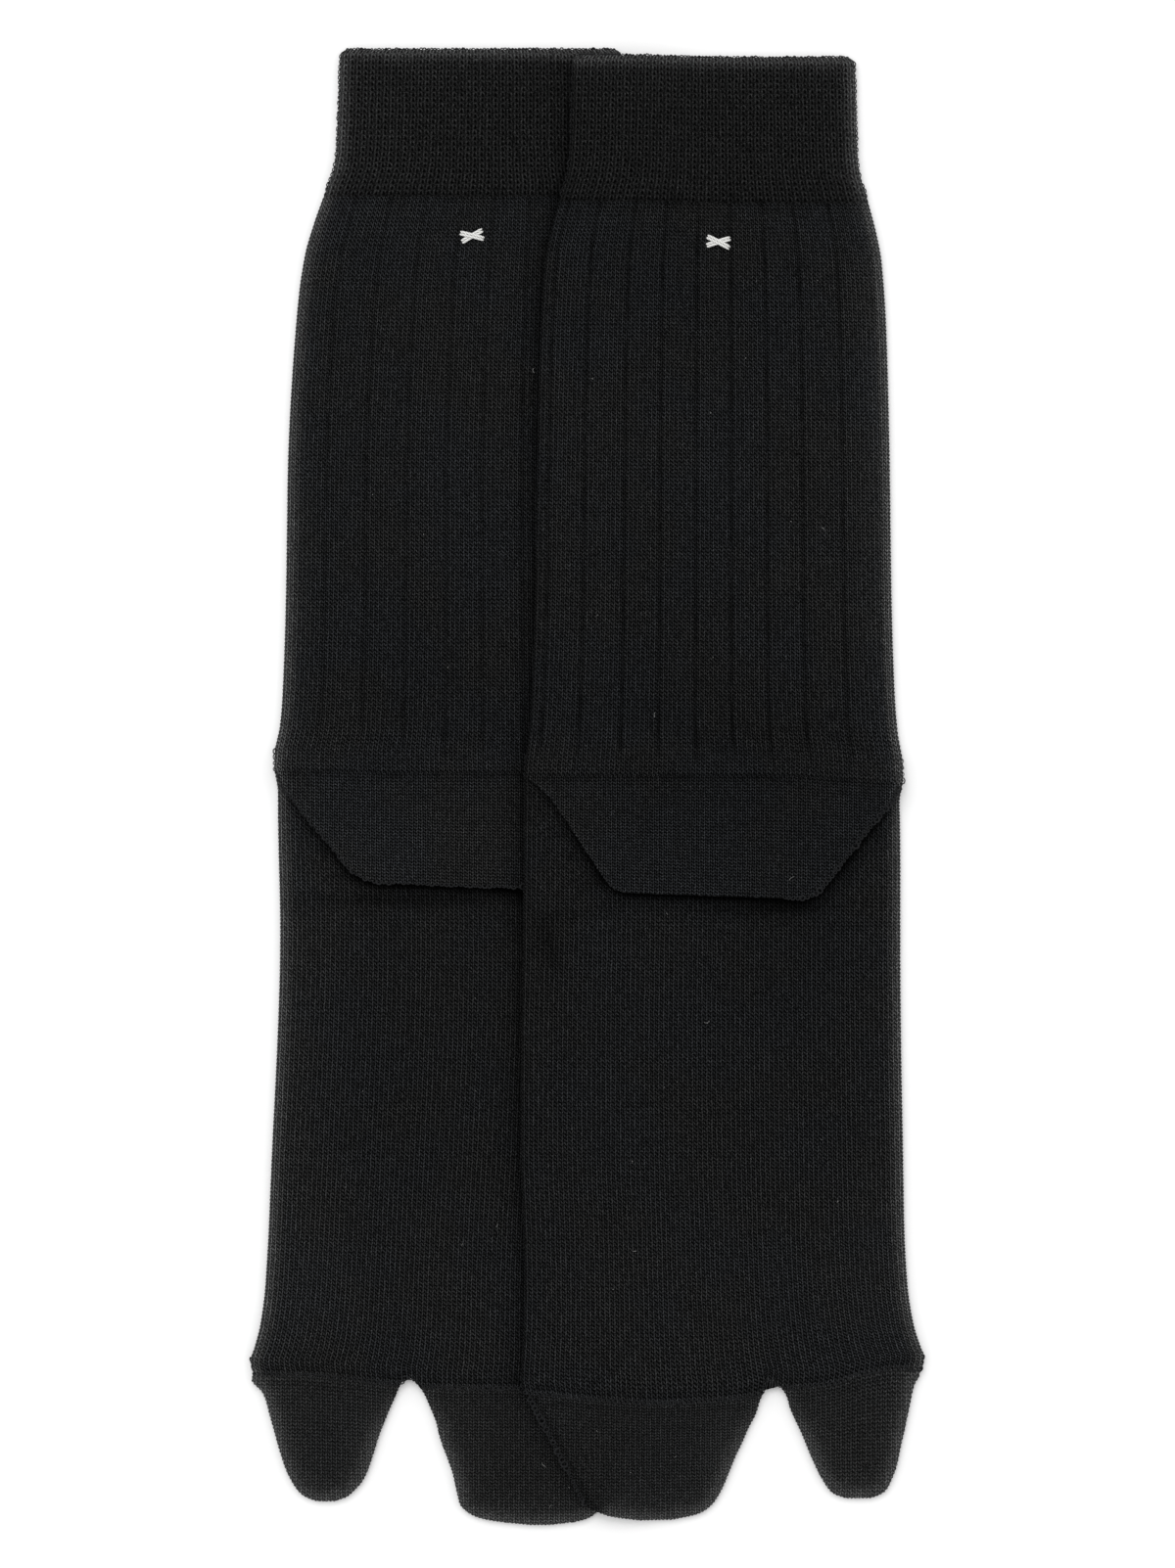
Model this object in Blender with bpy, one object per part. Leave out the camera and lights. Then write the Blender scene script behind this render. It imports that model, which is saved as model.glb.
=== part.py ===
# A pair of split-toe (tabi) socks in fine black cotton knit, laid flat with the sole side up.
# One sock lies on the ground and the other laps over its inner side.
# Lengths are in millimetres until a mesh is made. X runs across the pair, Y from toes to cuffs.

import math

import bmesh
import bpy

MM = 0.001

# Cloth and construction
WALL = 1.15          # one thickness of knit
CUFF_WALL = 1.5      # turned welt, two plies
SLACK = 0.3          # air between the two faces of a flat tube
SEAM = 0.3           # gap between neighbouring pieces
HEEL_GAP = 0.45      # gap under the folded heel pocket, which bends over the lower sock
FLAT = 2 * WALL + SLACK
CUFF_FLAT = 2 * CUFF_WALL + SLACK
RIB_HEIGHT = 0.35    # how far a rib stands above the sunk wale beside it
GROOVE_HALF = 0.09   # half the width of a sunk wale, as a share of a rib
HEEL_RISE = FLAT + HEEL_GAP  # the folded heel pocket lies this much higher than the sole
ANKLE_RAMP = 9.0     # length over which the leg's back climbs onto the heel pocket
FOLD_ANGLES = (45, 0, -45)      # points round a side fold, in degrees
TIP_ANGLES = (0, 40, 72)        # sections round a closed tip, in degrees

# How the upper sock comes down from the lower one onto the ground
LAP_START = 1.0      # clearance past the lower sock's edge before it comes down
LAP_RAMP = 22.0      # length of the slope beside that edge
LAP_AHEAD = 5.0      # how much sooner the slope starts above the ankle
LAP_BEHIND = 18.0    # length of the slope past the heel pocket's fold

# Each sock: heights on Y of its landmarks, the side its big toe is on, and how it lies
SOCKS = {
    "under": dict(outer=-1, cuff_top=183.1, cuff_line=146.7, ankle=3.5, heel_fold=-24.7,
                  toe_seam=-149.4, big_tip=-177.3, toes_tip=-183.2, seam_rise=3.4,
                  heel_tilt=-0.034, ankle_drop=0.0, ribs_across=8.9, columns=9),
    "over": dict(outer=1, cuff_top=181.1, cuff_line=145.0, ankle=2.8, heel_fold=-27.6,
                 toe_seam=-151.2, big_tip=-176.8, toes_tip=-181.9, seam_rise=5.5,
                 heel_tilt=-0.04, ankle_drop=1.6, ribs_across=9.8, columns=21),
}

# Centre line of each sock as it lies: Y, X
CENTRE = {
    "under": ((190, -26.6), (155, -26.9), (123, -29.3), (74, -30.8), (-35, -29.8),
              (-120, -31.8), (-145, -31.3), (-190, -31.0)),
    "over": ((190, 31.2), (-190, 30.9)),
}

# Sections down each zone. "down" runs from 0 at the zone's upper end to 1 at its lower end.
# "outer" and "inner" are half widths on the big toe's side and on the other side.
CUFF = (("down", "outer", "inner"),
        (0.0, 33.9, 33.9), (0.04, 34.8, 34.8), (0.3, 35.1, 35.1), (0.65, 35.5, 35.5),
        (0.8, 36.1, 36.1), (0.92, 37.5, 37.5), (1.0, 38.4, 38.4))
LEG = (("down", "outer", "inner"),
       (0.0, 38.4, 38.4), (0.045, 40.1, 40.1), (0.1, 41.6, 41.6), (0.22, 42.8, 42.8),
       (0.42, 43.6, 43.6), (0.7, 44.2, 44.2), (0.86, 45.0, 45.0), (0.92, 45.5, 45.5),
       (0.95, 45.9, 45.9), (0.975, 46.3, 46.3), (1.0, 46.8, 46.7))
FOOT = (("down", "outer", "inner"),
        (0.0, 46.8, 46.7), (0.035, 46.2, 46.7), (0.075, 46.3, 46.8), (0.115, 46.3, 46.8),
        (0.135, 46.4, 46.9), (0.155, 46.4, 46.9), (0.175, 46.4, 46.9), (0.195, 46.4, 47.0),
        (0.215, 46.4, 47.0), (0.235, 46.4, 47.0), (0.275, 46.4, 47.1),
        (0.42, 46.6, 47.5), (0.6, 47.1, 47.6),
        (0.74, 47.5, 46.9), (0.84, 48.3, 46.7), (0.91, 49.8, 47.0), (0.955, 51.6, 47.5),
        (0.975, 52.5, 47.6), (1.0, 51.8, 46.9))
HEEL = {
    "under": (("down", "outer", "inner"),
              (0.0, 46.4, 46.4), (0.12, 45.3, 44.6), (0.27, 42.2, 41.2), (0.43, 38.8, 37.6),
              (0.6, 35.0, 33.6), (0.78, 31.2, 28.9), (0.87, 29.2, 26.3), (0.94, 27.0, 23.2),
              (1.0, 23.0, 19.0)),
    "over": (("down", "outer", "inner"),
             (0.0, 46.4, 46.4), (0.08, 45.8, 44.3), (0.2, 43.7, 41.0), (0.29, 41.8, 39.1),
             (0.38, 39.9, 37.2), (0.47, 37.9, 35.5), (0.57, 35.7, 33.6), (0.66, 33.7, 31.9),
             (0.74, 32.0, 30.4), (0.85, 29.7, 28.2), (0.94, 27.2, 26.0), (1.0, 23.4, 23.0)),
}
# The two toe bags are measured from the centre line: "notch" is the edge beside the split
BIG_TOE = {
    "under": (("down", "notch", "side"),
              (0.0, 15.6, 51.9), (0.04, 16.0, 52.3), (0.07, 16.4, 51.7), (0.13, 17.1, 49.8),
              (0.2, 18.0, 48.8), (0.3, 19.2, 48.0), (0.44, 20.8, 46.8), (0.57, 22.0, 45.7),
              (0.74, 23.7, 44.0), (0.84, 25.2, 42.5), (0.93, 27.7, 40.5), (1.0, 31.6, 36.8)),
    "over": (("down", "notch", "side"),
             (0.0, 17.1, 51.5), (0.05, 18.1, 51.3), (0.1, 18.7, 50.3), (0.18, 19.3, 49.5),
             (0.3, 20.7, 48.7), (0.44, 22.4, 47.7), (0.58, 23.9, 46.7), (0.75, 26.0, 45.6),
             (0.86, 27.7, 44.3), (0.93, 29.1, 43.2), (1.0, 32.8, 39.8)),
}
TOES = {
    "under": (("down", "notch", "side"),
              (0.0, 10.5, -46.2), (0.06, 9.2, -45.2), (0.14, 8.0, -43.9), (0.25, 6.5, -42.2),
              (0.37, 5.5, -40.4), (0.5, 3.9, -38.6), (0.62, 2.5, -37.0), (0.72, 1.7, -35.8),
              (0.85, 0.7, -34.4), (0.91, -1.3, -33.0), (0.95, -4.4, -31.0),
              (1.0, -15.0, -22.5)),
    "over": (("down", "notch", "side"),
             (0.0, 12.7, -46.2), (0.06, 11.6, -45.0), (0.14, 10.8, -43.5), (0.25, 9.0, -41.5),
             (0.37, 7.4, -39.5), (0.5, 5.5, -37.4), (0.62, 4.0, -35.5), (0.75, 2.3, -33.6),
             (0.85, 0.5, -31.8), (0.91, -1.3, -29.3), (0.95, -3.5, -26.3),
             (1.0, -9.6, -18.8)),
}


def ease(t):
    """Smooth step from 0 to 1."""
    t = min(max(t, 0.0), 1.0)
    return t * t * (3 - 2 * t)


def read_table(table, column, down):
    """Value of a named column at a height, on a straight line between two sections."""
    place = table[0].index(column)
    rows = table[1:]
    down = min(max(down, rows[0][0]), rows[-1][0])
    for first, second in zip(rows, rows[1:]):
        if down <= second[0]:
            share = (down - first[0]) / (second[0] - first[0])
            return first[place] + share * (second[place] - first[place])
    return rows[-1][place]


def centre_at(name, y):
    """X of a sock's centre line."""
    rows = CENTRE[name]
    for (high, x_high), (low, x_low) in zip(rows, rows[1:]):
        if y >= low:
            return x_low + (x_high - x_low) * ease((y - low) / (high - low))
    return rows[-1][1]


def edges_at(name, table, down, y):
    """Left and right edge of a piece at one section."""
    sock = SOCKS[name]
    centre = centre_at(name, y)
    if table[0][1] == "outer":
        sides = (read_table(table, "outer", down), -read_table(table, "inner", down))
    else:
        sides = [read_table(table, column, down) for column in ("notch", "side")]
    ends = [centre + sock["outer"] * side for side in sides]
    return min(ends), max(ends)


def zone_span(name, zone):
    """Upper and lower end of a zone, without the seams."""
    sock = SOCKS[name]
    ends = {"cuff": ("cuff_top", "cuff_line"), "leg": ("cuff_line", "ankle"),
            "heel": ("ankle", "heel_fold"), "foot": ("ankle", "toe_seam"),
            "big_toe": ("toe_seam", "big_tip"), "toes": ("toe_seam", "toes_tip")}[zone]
    return sock[ends[0]], sock[ends[1]]


def share_down(name, zone, y):
    """How far down its zone a height lies, from 0 to 1."""
    top, bottom = zone_span(name, zone)
    return min(max((top - y) / (top - bottom), 0.0), 1.0)


def right_edge_of_under(y):
    """Right edge of the lower sock at a height, which the upper sock covers."""
    sock = SOCKS["under"]
    if y > sock["cuff_line"]:
        zone, table = "cuff", CUFF
    elif y > sock["ankle"]:
        zone, table = "leg", LEG
    elif y > sock["toe_seam"]:
        zone, table = "foot", FOOT
    else:
        zone, table = "toes", TOES["under"]
    return edges_at("under", table, share_down("under", zone, y), y)[1]


def lap_height(x, y):
    """How high the upper sock is carried above the ground by the lower one."""
    sock = SOCKS["under"]
    on_cuff = ease((y - sock["cuff_line"] + 6) / 6)
    on_foot = ease((sock["ankle"] - y) / 6)
    body = FLAT + SEAM + RIB_HEIGHT * (1 - on_foot) + (CUFF_FLAT - FLAT) * on_cuff
    body *= ease(1 - (x - right_edge_of_under(y) - LAP_START) / LAP_RAMP)
    heel_y = min(y, sock["ankle"])
    heel_edge = edges_at("under", HEEL["under"], share_down("under", "heel", heel_y), heel_y)[1]
    above = ease((sock["ankle"] + ANKLE_RAMP + LAP_AHEAD - y) / (ANKLE_RAMP + LAP_AHEAD - 2))
    below = ease((y - sock["heel_fold"] + LAP_START + LAP_BEHIND) / LAP_BEHIND)
    heel = HEEL_RISE * above * below
    heel *= ease(1 - (x - heel_edge - LAP_START) / LAP_RAMP)
    return body + heel


def lie(name, zone, x, y, z):
    """Place a point: heel fold, ankle and toe seam run aslant, and the upper sock laps over."""
    sock = SOCKS[name]
    if zone == "heel":
        down = (sock["ankle"] - y) / (sock["ankle"] - sock["heel_fold"])
        y += sock["heel_tilt"] * (x - centre_at(name, y)) * ease(down)
    reach = 45.0 if y > sock["toe_seam"] else 27.0
    near_seam = max(0.0, 1 - abs(y - sock["toe_seam"]) / reach)
    aside = (x - centre_at(name, y)) * sock["outer"]
    y -= sock["ankle_drop"] * ease(1 - abs(y - sock["ankle"]) / 16) * ease((aside - 14) / 32)
    y += sock["seam_rise"] * near_seam * ease(aside / 45)
    if name == "over":
        z += lap_height(x, y)
    return x * MM, y * MM, z * MM


def flat_loop(left, right, low, high, top_row, bottom_row, raised=None):
    """One section of a flattened tube: upper row, right fold, lower row, left fold."""
    radius = (high - low) / 2
    middle = (low + high) / 2
    centre, reach = (left + right) / 2, (right - left) / 2 - radius
    raised = raised or [0.0] * len(top_row)
    loop = [(centre + reach * share, high + lift) for share, lift in zip(top_row, raised)]
    for angle in FOLD_ANGLES:
        turn = math.radians(angle)
        loop.append((centre + reach + radius * math.cos(turn), middle + radius * math.sin(turn)))
    loop += [(centre + reach * share, low) for share in reversed(bottom_row)]
    for angle in reversed(FOLD_ANGLES):
        turn = math.radians(angle)
        loop.append((centre - reach - radius * math.cos(turn), middle + radius * math.sin(turn)))
    return loop


def even_row(count):
    """Evenly spaced places across a section, from -1 to 1."""
    return [2 * i / (count - 1) - 1 for i in range(count)]


def rib_row(ribs_across):
    """Places across a ribbed face and the height of each: a sunk wale has two shoulders."""
    pitch = 2 / ribs_across
    row = [(-1.0, RIB_HEIGHT / 2), (1.0, RIB_HEIGHT / 2)]
    for side in (-1, 1):
        groove = pitch / 2
        while groove < 1 - pitch * GROOVE_HALF:
            row.append((side * groove, 0.0))
            row.append((side * (groove - pitch * GROOVE_HALF), RIB_HEIGHT))
            if groove + pitch * GROOVE_HALF < 1 - pitch * GROOVE_HALF:
                row.append((side * (groove + pitch * GROOVE_HALF), RIB_HEIGHT))
            groove += pitch
    row.sort()
    return [share for share, _ in row], [lift for _, lift in row]


def add_loop(mesh, name, zone, y, loop):
    """Vertices of one section."""
    return [mesh.verts.new(lie(name, zone, x, y, z)) for x, z in loop]


def skin(mesh, loops):
    """Faces between neighbouring sections."""
    for first, second in zip(loops, loops[1:]):
        count = len(first)
        for i in range(count):
            j = (i + 1) % count
            mesh.faces.new((first[i], first[j], second[j], second[i]))


def close_tip(mesh, loop, columns):
    """Close a bag's last section by joining its upper row to its lower one."""
    folds = len(FOLD_ANGLES)
    upper = loop[:columns]
    right = loop[columns:columns + folds]
    lower = loop[columns + folds:2 * columns + folds][::-1]
    left = loop[2 * columns + folds:]
    for i in range(columns - 1):
        mesh.faces.new((upper[i], upper[i + 1], lower[i + 1], lower[i]))
    mesh.faces.new([upper[-1]] + right + [lower[-1]])
    mesh.faces.new([lower[0]] + left + [upper[0]])


def finish(mesh, name, material):
    """Turn the faces outwards and make the object."""
    bmesh.ops.recalc_face_normals(mesh, faces=mesh.faces)
    data = bpy.data.meshes.new(name)
    mesh.to_mesh(data)
    mesh.free()
    data.shade_smooth()
    data.materials.append(material)
    piece = bpy.data.objects.new(name, data)
    bpy.context.scene.collection.objects.link(piece)
    return piece


def make_tube(name, zone, table, wall, material, heights, rows=None):
    """A flat tube, open at both ends. "heights" gives its low and high side at a section."""
    sock = SOCKS[name]
    top, bottom = zone_span(name, zone)
    top_row, raised = rows or (even_row(sock["columns"]), None)
    bottom_row = even_row(sock["columns"])
    mesh = bmesh.new()
    outer, inner = [], []
    for down in [row[0] for row in table[1:]]:
        y = top - SEAM / 2 - down * (top - bottom - SEAM)
        left, right = edges_at(name, table, down, y)
        low, high = heights(y)
        outer.append(add_loop(mesh, name, zone, y, flat_loop(
            left, right, low, high, top_row, bottom_row, raised)))
        inner.append(add_loop(mesh, name, zone, y, flat_loop(
            left + wall, right - wall, low + wall, high - wall, top_row, bottom_row)))
    skin(mesh, outer)
    skin(mesh, inner)
    skin(mesh, [outer[0], inner[0]])
    skin(mesh, [outer[-1], inner[-1]])
    return finish(mesh, name + "_" + zone, material)


def make_bag(name, zone, table, columns, low, material):
    """A flat bag, open at its upper end and rounded at its tip."""
    top, tip = zone_span(name, zone)
    top -= SEAM / 2
    length = top - tip
    radius = FLAT / 2
    middle = low + radius
    row = even_row(columns)
    mesh = bmesh.new()
    downs = [r[0] for r in table[1:] if length * (1 - r[0]) > radius * 1.2]
    outer = [(down, radius) for down in downs]
    for angle in TIP_ANGLES:
        turn = math.radians(angle)
        outer.append((1 - radius * (1 - math.sin(turn)) / length, radius * math.cos(turn)))
    hollow = [down for down in downs if length * (1 - down) > 2 * WALL]
    hollow.append(1 - (WALL + SLACK) / length)
    loops, lining = [], []
    for down, half in outer:
        y = top - down * length
        left, right = edges_at(name, table, down, y)
        loops.append(add_loop(mesh, name, zone, y, flat_loop(
            left, right, middle - half, middle + half, row, row)))
    for down in hollow:
        y = top - down * length
        ahead = min(1.0, down + WALL / length) if down else 0.0
        left, right = edges_at(name, table, ahead, y)
        lining.append(add_loop(mesh, name, zone, y, flat_loop(
            left + WALL, right - WALL, low + WALL, low + FLAT - WALL, row, row)))
    skin(mesh, loops)
    skin(mesh, lining)
    skin(mesh, [loops[0], lining[0]])
    close_tip(mesh, loops[-1], columns)
    close_tip(mesh, lining[-1], columns)
    return finish(mesh, name + "_" + zone, material)


def make_sock(name, material):
    """The six pieces of one sock."""
    sock = SOCKS[name]

    def cuff_heights(y):
        return 0.0, CUFF_FLAT

    def leg_heights(y):
        climb = ease((sock["ankle"] + ANKLE_RAMP - y) / (ANKLE_RAMP - SEAM / 2))
        return 0.0, FLAT + HEEL_RISE * climb

    def foot_heights(y):
        return 0.0, FLAT

    few, many = (7, 11) if name == "under" else (9, 17)
    return [
        make_tube(name, "cuff", CUFF, CUFF_WALL, material, cuff_heights),
        make_tube(name, "leg", LEG, WALL, material, leg_heights, rib_row(sock["ribs_across"])),
        make_tube(name, "foot", FOOT, WALL, material, foot_heights),
        make_bag(name, "heel", HEEL[name], many, HEEL_RISE, material),
        make_bag(name, "big_toe", BIG_TOE[name], few, 0.0, material),
        make_bag(name, "toes", TOES[name], many, 0.0, material),
    ]


def knit_material():
    """Black cotton knit."""
    material = bpy.data.materials.new("black_knit")
    material.use_nodes = True
    shader = material.node_tree.nodes["Principled BSDF"]
    shader.inputs["Base Color"].default_value = (0.011, 0.011, 0.012, 1)
    shader.inputs["Roughness"].default_value = 0.9
    shader.inputs["Metallic"].default_value = 0.0
    return material


def centre_on_origin(pieces):
    """Put the middle of the pair's underside at the origin."""
    points = [vertex.co for piece in pieces for vertex in piece.data.vertices]
    across = [point.x for point in points]
    along = [point.y for point in points]
    for piece in pieces:
        piece.location = (-(min(across) + max(across)) / 2, -(min(along) + max(along)) / 2, 0)


for item in list(bpy.data.objects):
    bpy.data.objects.remove(item, do_unlink=True)

knit = knit_material()
centre_on_origin([piece for name in SOCKS for piece in make_sock(name, knit)])
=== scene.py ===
# A pair of black knitted tabi socks, laid flat with the soles up, one lapped over the other.
# Sizes are in millimetres until a mesh is made. X runs across the pair, Y from toes to cuffs.

import math

import bpy
import numpy as np
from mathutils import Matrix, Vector, geometry


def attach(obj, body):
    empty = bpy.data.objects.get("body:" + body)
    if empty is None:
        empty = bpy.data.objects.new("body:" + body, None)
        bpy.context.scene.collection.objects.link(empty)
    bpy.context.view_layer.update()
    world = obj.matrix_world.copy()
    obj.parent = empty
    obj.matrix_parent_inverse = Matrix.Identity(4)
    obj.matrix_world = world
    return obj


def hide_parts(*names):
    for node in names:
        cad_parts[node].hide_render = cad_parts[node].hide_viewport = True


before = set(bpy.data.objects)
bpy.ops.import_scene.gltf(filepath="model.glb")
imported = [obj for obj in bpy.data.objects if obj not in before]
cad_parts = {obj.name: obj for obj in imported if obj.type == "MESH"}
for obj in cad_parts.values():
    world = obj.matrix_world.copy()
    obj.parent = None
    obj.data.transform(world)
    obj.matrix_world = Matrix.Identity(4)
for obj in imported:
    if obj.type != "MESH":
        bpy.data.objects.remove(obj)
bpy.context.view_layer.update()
mm = 0.001

# How the cloth is built up
cloth = {
    "wall": 1.15,           # one thickness of knit
    "cuffWall": 1.5,        # the turned welt is two plies
    "slack": 0.3,           # air between the two faces of a flat tube
    "heelGap": 0.45,        # air under the folded heel pocket
    "ribHeight": 0.35,
    "rounding": 3.2,        # how far in from a fold the upper face starts to curve down
    "underRounding": 1.5,
    "ankleRamp": 9.0,       # the leg's back climbs onto the heel pocket over this length
    "weltRamp": 6.0,        # the welt's second ply thins out over this length
}
flat = 2 * cloth["wall"] + cloth["slack"]
cuffFlat = 2 * cloth["cuffWall"] + cloth["slack"]
heelRise = flat + cloth["heelGap"]

# How the upper sock comes down from the lower one
lap = {"clear": 0.3, "start": 1.0, "ramp": 22.0, "ahead": 5.0, "behind": 18.0, "step": 6.0}

# Each sock: its landmarks on Y, the side of its big toe, its ribs and how it leans
socks = {
    "under": {"outer": -1, "cuffTop": 183.1, "cuffLine": 146.7, "ankle": 3.5, "heelFold": -24.3,
              "heelTilt": -0.034, "ankleDrop": -0.7, "toeSeam": -149.4, "bigToeTip": -177.3,
              "toesTip": -183.2, "seamRise": 3.4, "notchArch": 2.0, "notchLean": 1.0,
              "ribsAcross": 8.9},
    "over": {"outer": 1, "cuffTop": 181.1, "cuffLine": 145.0, "ankle": 2.8, "heelFold": -26.8,
             "heelTilt": -0.037, "ankleDrop": 1.6, "toeSeam": -151.2, "bigToeTip": -176.8,
             "toesTip": -181.9, "seamRise": 5.5, "notchArch": 2.5, "notchLean": 0.5,
             "ribsAcross": 9.8},
}
# How the toe seam wavers, by how far aside of the middle
seamWaves = {
    "under": ((-50, 0.0), (50, 0.0)),
    "over": ((-46, 1.0), (-25, -0.9), (-14, -1.5), (2, -1.2), (9, -0.9), (15, 0.4), (24, -0.9),
             (30, -1.0), (36, 0.2), (46, 1.3), (53, 0.9)),
}
# How far the slants and waves of a seam reach
bends = {"aboveSeam": 45.0, "belowSeam": 27.0, "aside": 45.0, "arch": 9.0, "wave": 8.0,
         "ankle": 16.0, "dropStart": 14.0, "dropWidth": 32.0}

centreLines = {
    "under": ((190, -26.6), (155, -26.9), (123, -29.3), (74, -30.8), (3, -30.8), (-35, -30.0),
              (-120, -31.8), (-145, -31.3), (-190, -31.0)),
    "over": ((190, 31.2), (-190, 30.9)),
}

# Sides of each zone from its centre line, as rows of the share of the way down, then the half
# widths on the big toe's side and the other side. For the two toe bags they are the notch's
# side and the far side, both towards the big toe.
profiles = {
    "cuff": ((0.0, 33.9, 33.9), (0.03, 34.8, 34.8), (0.3, 35.1, 35.1), (0.65, 35.5, 35.5),
             (0.8, 36.1, 36.1), (0.92, 37.5, 37.5), (1.0, 38.4, 38.4)),
    "leg": ((0.0, 38.4, 38.4), (0.045, 40.1, 40.1), (0.1, 41.6, 41.6), (0.22, 42.8, 42.8),
            (0.42, 43.6, 43.6), (0.7, 44.2, 44.2), (0.86, 45.0, 45.0), (0.92, 45.7, 45.5),
            (0.945, 46.4, 45.9), (0.965, 46.9, 46.3), (1.0, 47.0, 46.7)),
    "foot": ((0.0, 47.0, 46.7), (0.035, 46.2, 46.7), (0.075, 46.3, 46.8), (0.155, 46.4, 46.9),
             (0.275, 46.4, 47.1), (0.42, 46.6, 47.5), (0.6, 47.1, 47.6), (0.74, 47.5, 46.9),
             (0.84, 48.3, 46.7), (0.91, 49.8, 47.0), (0.955, 51.6, 47.5), (0.975, 52.5, 47.6),
             (1.0, 51.8, 46.9)),
    "heel": {
        "under": ((0.0, 46.4, 46.4), (0.12, 45.3, 44.6), (0.27, 42.2, 41.2), (0.43, 38.8, 37.6),
                  (0.6, 35.0, 33.6), (0.78, 31.2, 28.9), (0.87, 29.2, 26.3), (0.93, 27.5, 23.8),
                  (0.975, 24.9, 20.8), (1.0, 21.6, 17.6)),
        "over": ((0.0, 46.4, 46.4), (0.08, 45.6, 43.6), (0.2, 43.4, 40.1), (0.38, 39.4, 36.5),
                 (0.57, 34.9, 33.1), (0.74, 30.9, 29.8), (0.85, 28.2, 27.7), (0.93, 26.3, 25.9),
                 (0.975, 24.3, 24.1), (1.0, 21.6, 21.8))},
    "bigToe": {
        "under": ((0.0, 15.6, 51.9), (0.04, 16.0, 52.3), (0.07, 16.4, 51.7), (0.13, 17.1, 49.8),
                  (0.2, 18.0, 48.8), (0.3, 19.2, 48.0), (0.44, 20.8, 46.8), (0.57, 22.0, 45.7),
                  (0.74, 23.7, 44.0), (0.84, 25.2, 42.5), (0.93, 27.7, 40.5),
                  (0.965, 29.1, 39.0), (1.0, 32.0, 36.4)),
        "over": ((0.0, 17.1, 51.5), (0.05, 18.1, 51.3), (0.1, 18.7, 50.3), (0.18, 19.3, 49.5),
                 (0.3, 20.7, 48.7), (0.44, 22.4, 47.7), (0.58, 23.9, 46.7), (0.75, 26.0, 45.6),
                 (0.86, 27.7, 44.3), (0.93, 29.1, 43.2), (0.965, 30.3, 42.0), (1.0, 33.2, 39.4))},
    "toes": {
        "under": ((0.0, 10.5, -46.2), (0.06, 9.2, -45.2), (0.14, 8.0, -43.9), (0.25, 6.5, -42.2),
                  (0.37, 5.5, -40.4), (0.5, 3.9, -38.6), (0.62, 2.5, -37.0), (0.72, 1.7, -35.8),
                  (0.85, 0.7, -34.4), (0.91, -1.3, -33.0), (0.94, -3.2, -31.7),
                  (0.97, -7.3, -29.0), (1.0, -16.5, -21.5)),
        "over": ((0.0, 12.7, -46.2), (0.06, 11.6, -45.0), (0.14, 10.8, -43.5), (0.25, 9.0, -41.5),
                 (0.37, 7.4, -39.5), (0.5, 5.5, -37.4), (0.62, 4.0, -35.5), (0.75, 2.3, -33.6),
                 (0.85, 0.5, -31.8), (0.91, -1.3, -29.3), (0.955, -3.8, -25.9),
                 (1.0, -10.0, -18.2))},
}
# Each zone's ends, the length of its courses, and its wales across or the width of a wale
knit = {
    "cuff": {"ends": ("cuffTop", "cuffLine"), "course": 1.35, "wales": 84, "backRows": 2},
    "leg": {"ends": ("cuffLine", "ankle"), "course": 0.97, "wales": 80, "backRows": 4},
    "foot": {"ends": ("ankle", "toeSeam"), "course": 0.97, "wales": 80, "backRows": 4},
    "heel": {"ends": ("ankle", "heelFold"), "course": 0.81, "pitch": 1.15},
    "bigToe": {"ends": ("toeSeam", "bigToeTip"), "course": 0.82, "pitch": 1.25},
    "toes": {"ends": ("toeSeam", "toesTip"), "course": 0.82, "pitch": 1.25},
}
tubes, seamZones = ("cuff", "leg", "foot"), ("foot", "bigToe", "toes")


def ease(t):
    t = np.clip(t, 0.0, 1.0)
    return t * t * (3 - 2 * t)


def bell(distance, half):
    return np.exp(-(distance / half) ** 2)


def smoothThrough(xs, ys, at):
    # a curve through the rows that never overshoots them
    xs, ys = np.asarray(xs, float), np.asarray(ys, float)
    steps = np.diff(ys) / np.diff(xs)
    slopes = np.zeros_like(ys)
    slopes[0], slopes[-1] = steps[0], steps[-1]
    same = steps[:-1] * steps[1:] > 0
    both = np.where(same, steps[:-1] + steps[1:], 1.0)
    slopes[1:-1] = np.where(same, 2 * steps[:-1] * steps[1:] / both, 0.0)
    i = np.clip(np.searchsorted(xs, at, side="right") - 1, 0, len(xs) - 2)
    width = xs[i + 1] - xs[i]
    t = np.clip((at - xs[i]) / width, 0.0, 1.0)
    s = 1 - t
    return (ys[i] * s * s * (1 + 2 * t) + ys[i + 1] * t * t * (3 - 2 * t)
            + width * t * s * (slopes[i] * s - slopes[i + 1] * t))


def centreAt(name, y):
    return smoothThrough(*zip(*centreLines[name][::-1]), y)


def zoneSpan(name, zone):
    return tuple(socks[name][end] for end in knit[zone]["ends"])


def rowsOf(name, zone):
    table = profiles[zone]
    return table[name] if isinstance(table, dict) else table


def edgesAt(name, zone, y):
    # left and right edge of a piece at heights y
    top, bottom = zoneSpan(name, zone)
    shares, *sides = zip(*rowsOf(name, zone))
    down = np.clip((top - y) / (top - bottom), 0.0, 1.0)
    first, second = (smoothThrough(shares, side, down) for side in sides)
    if zone not in ("bigToe", "toes"):
        second = -second
    ends = [centreAt(name, y) + socks[name]["outer"] * side for side in (first, second)]
    return np.minimum(*ends), np.maximum(*ends)


def sockEdge(name, side, y):
    # one side of a whole sock, 0 on the left and 1 on the right
    edge = edgesAt(name, "toes", y)[side]
    for zone in ("foot", "leg", "cuff"):
        edge = np.where(y > zoneSpan(name, zone)[1], edgesAt(name, zone, y)[side], edge)
    return edge


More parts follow.
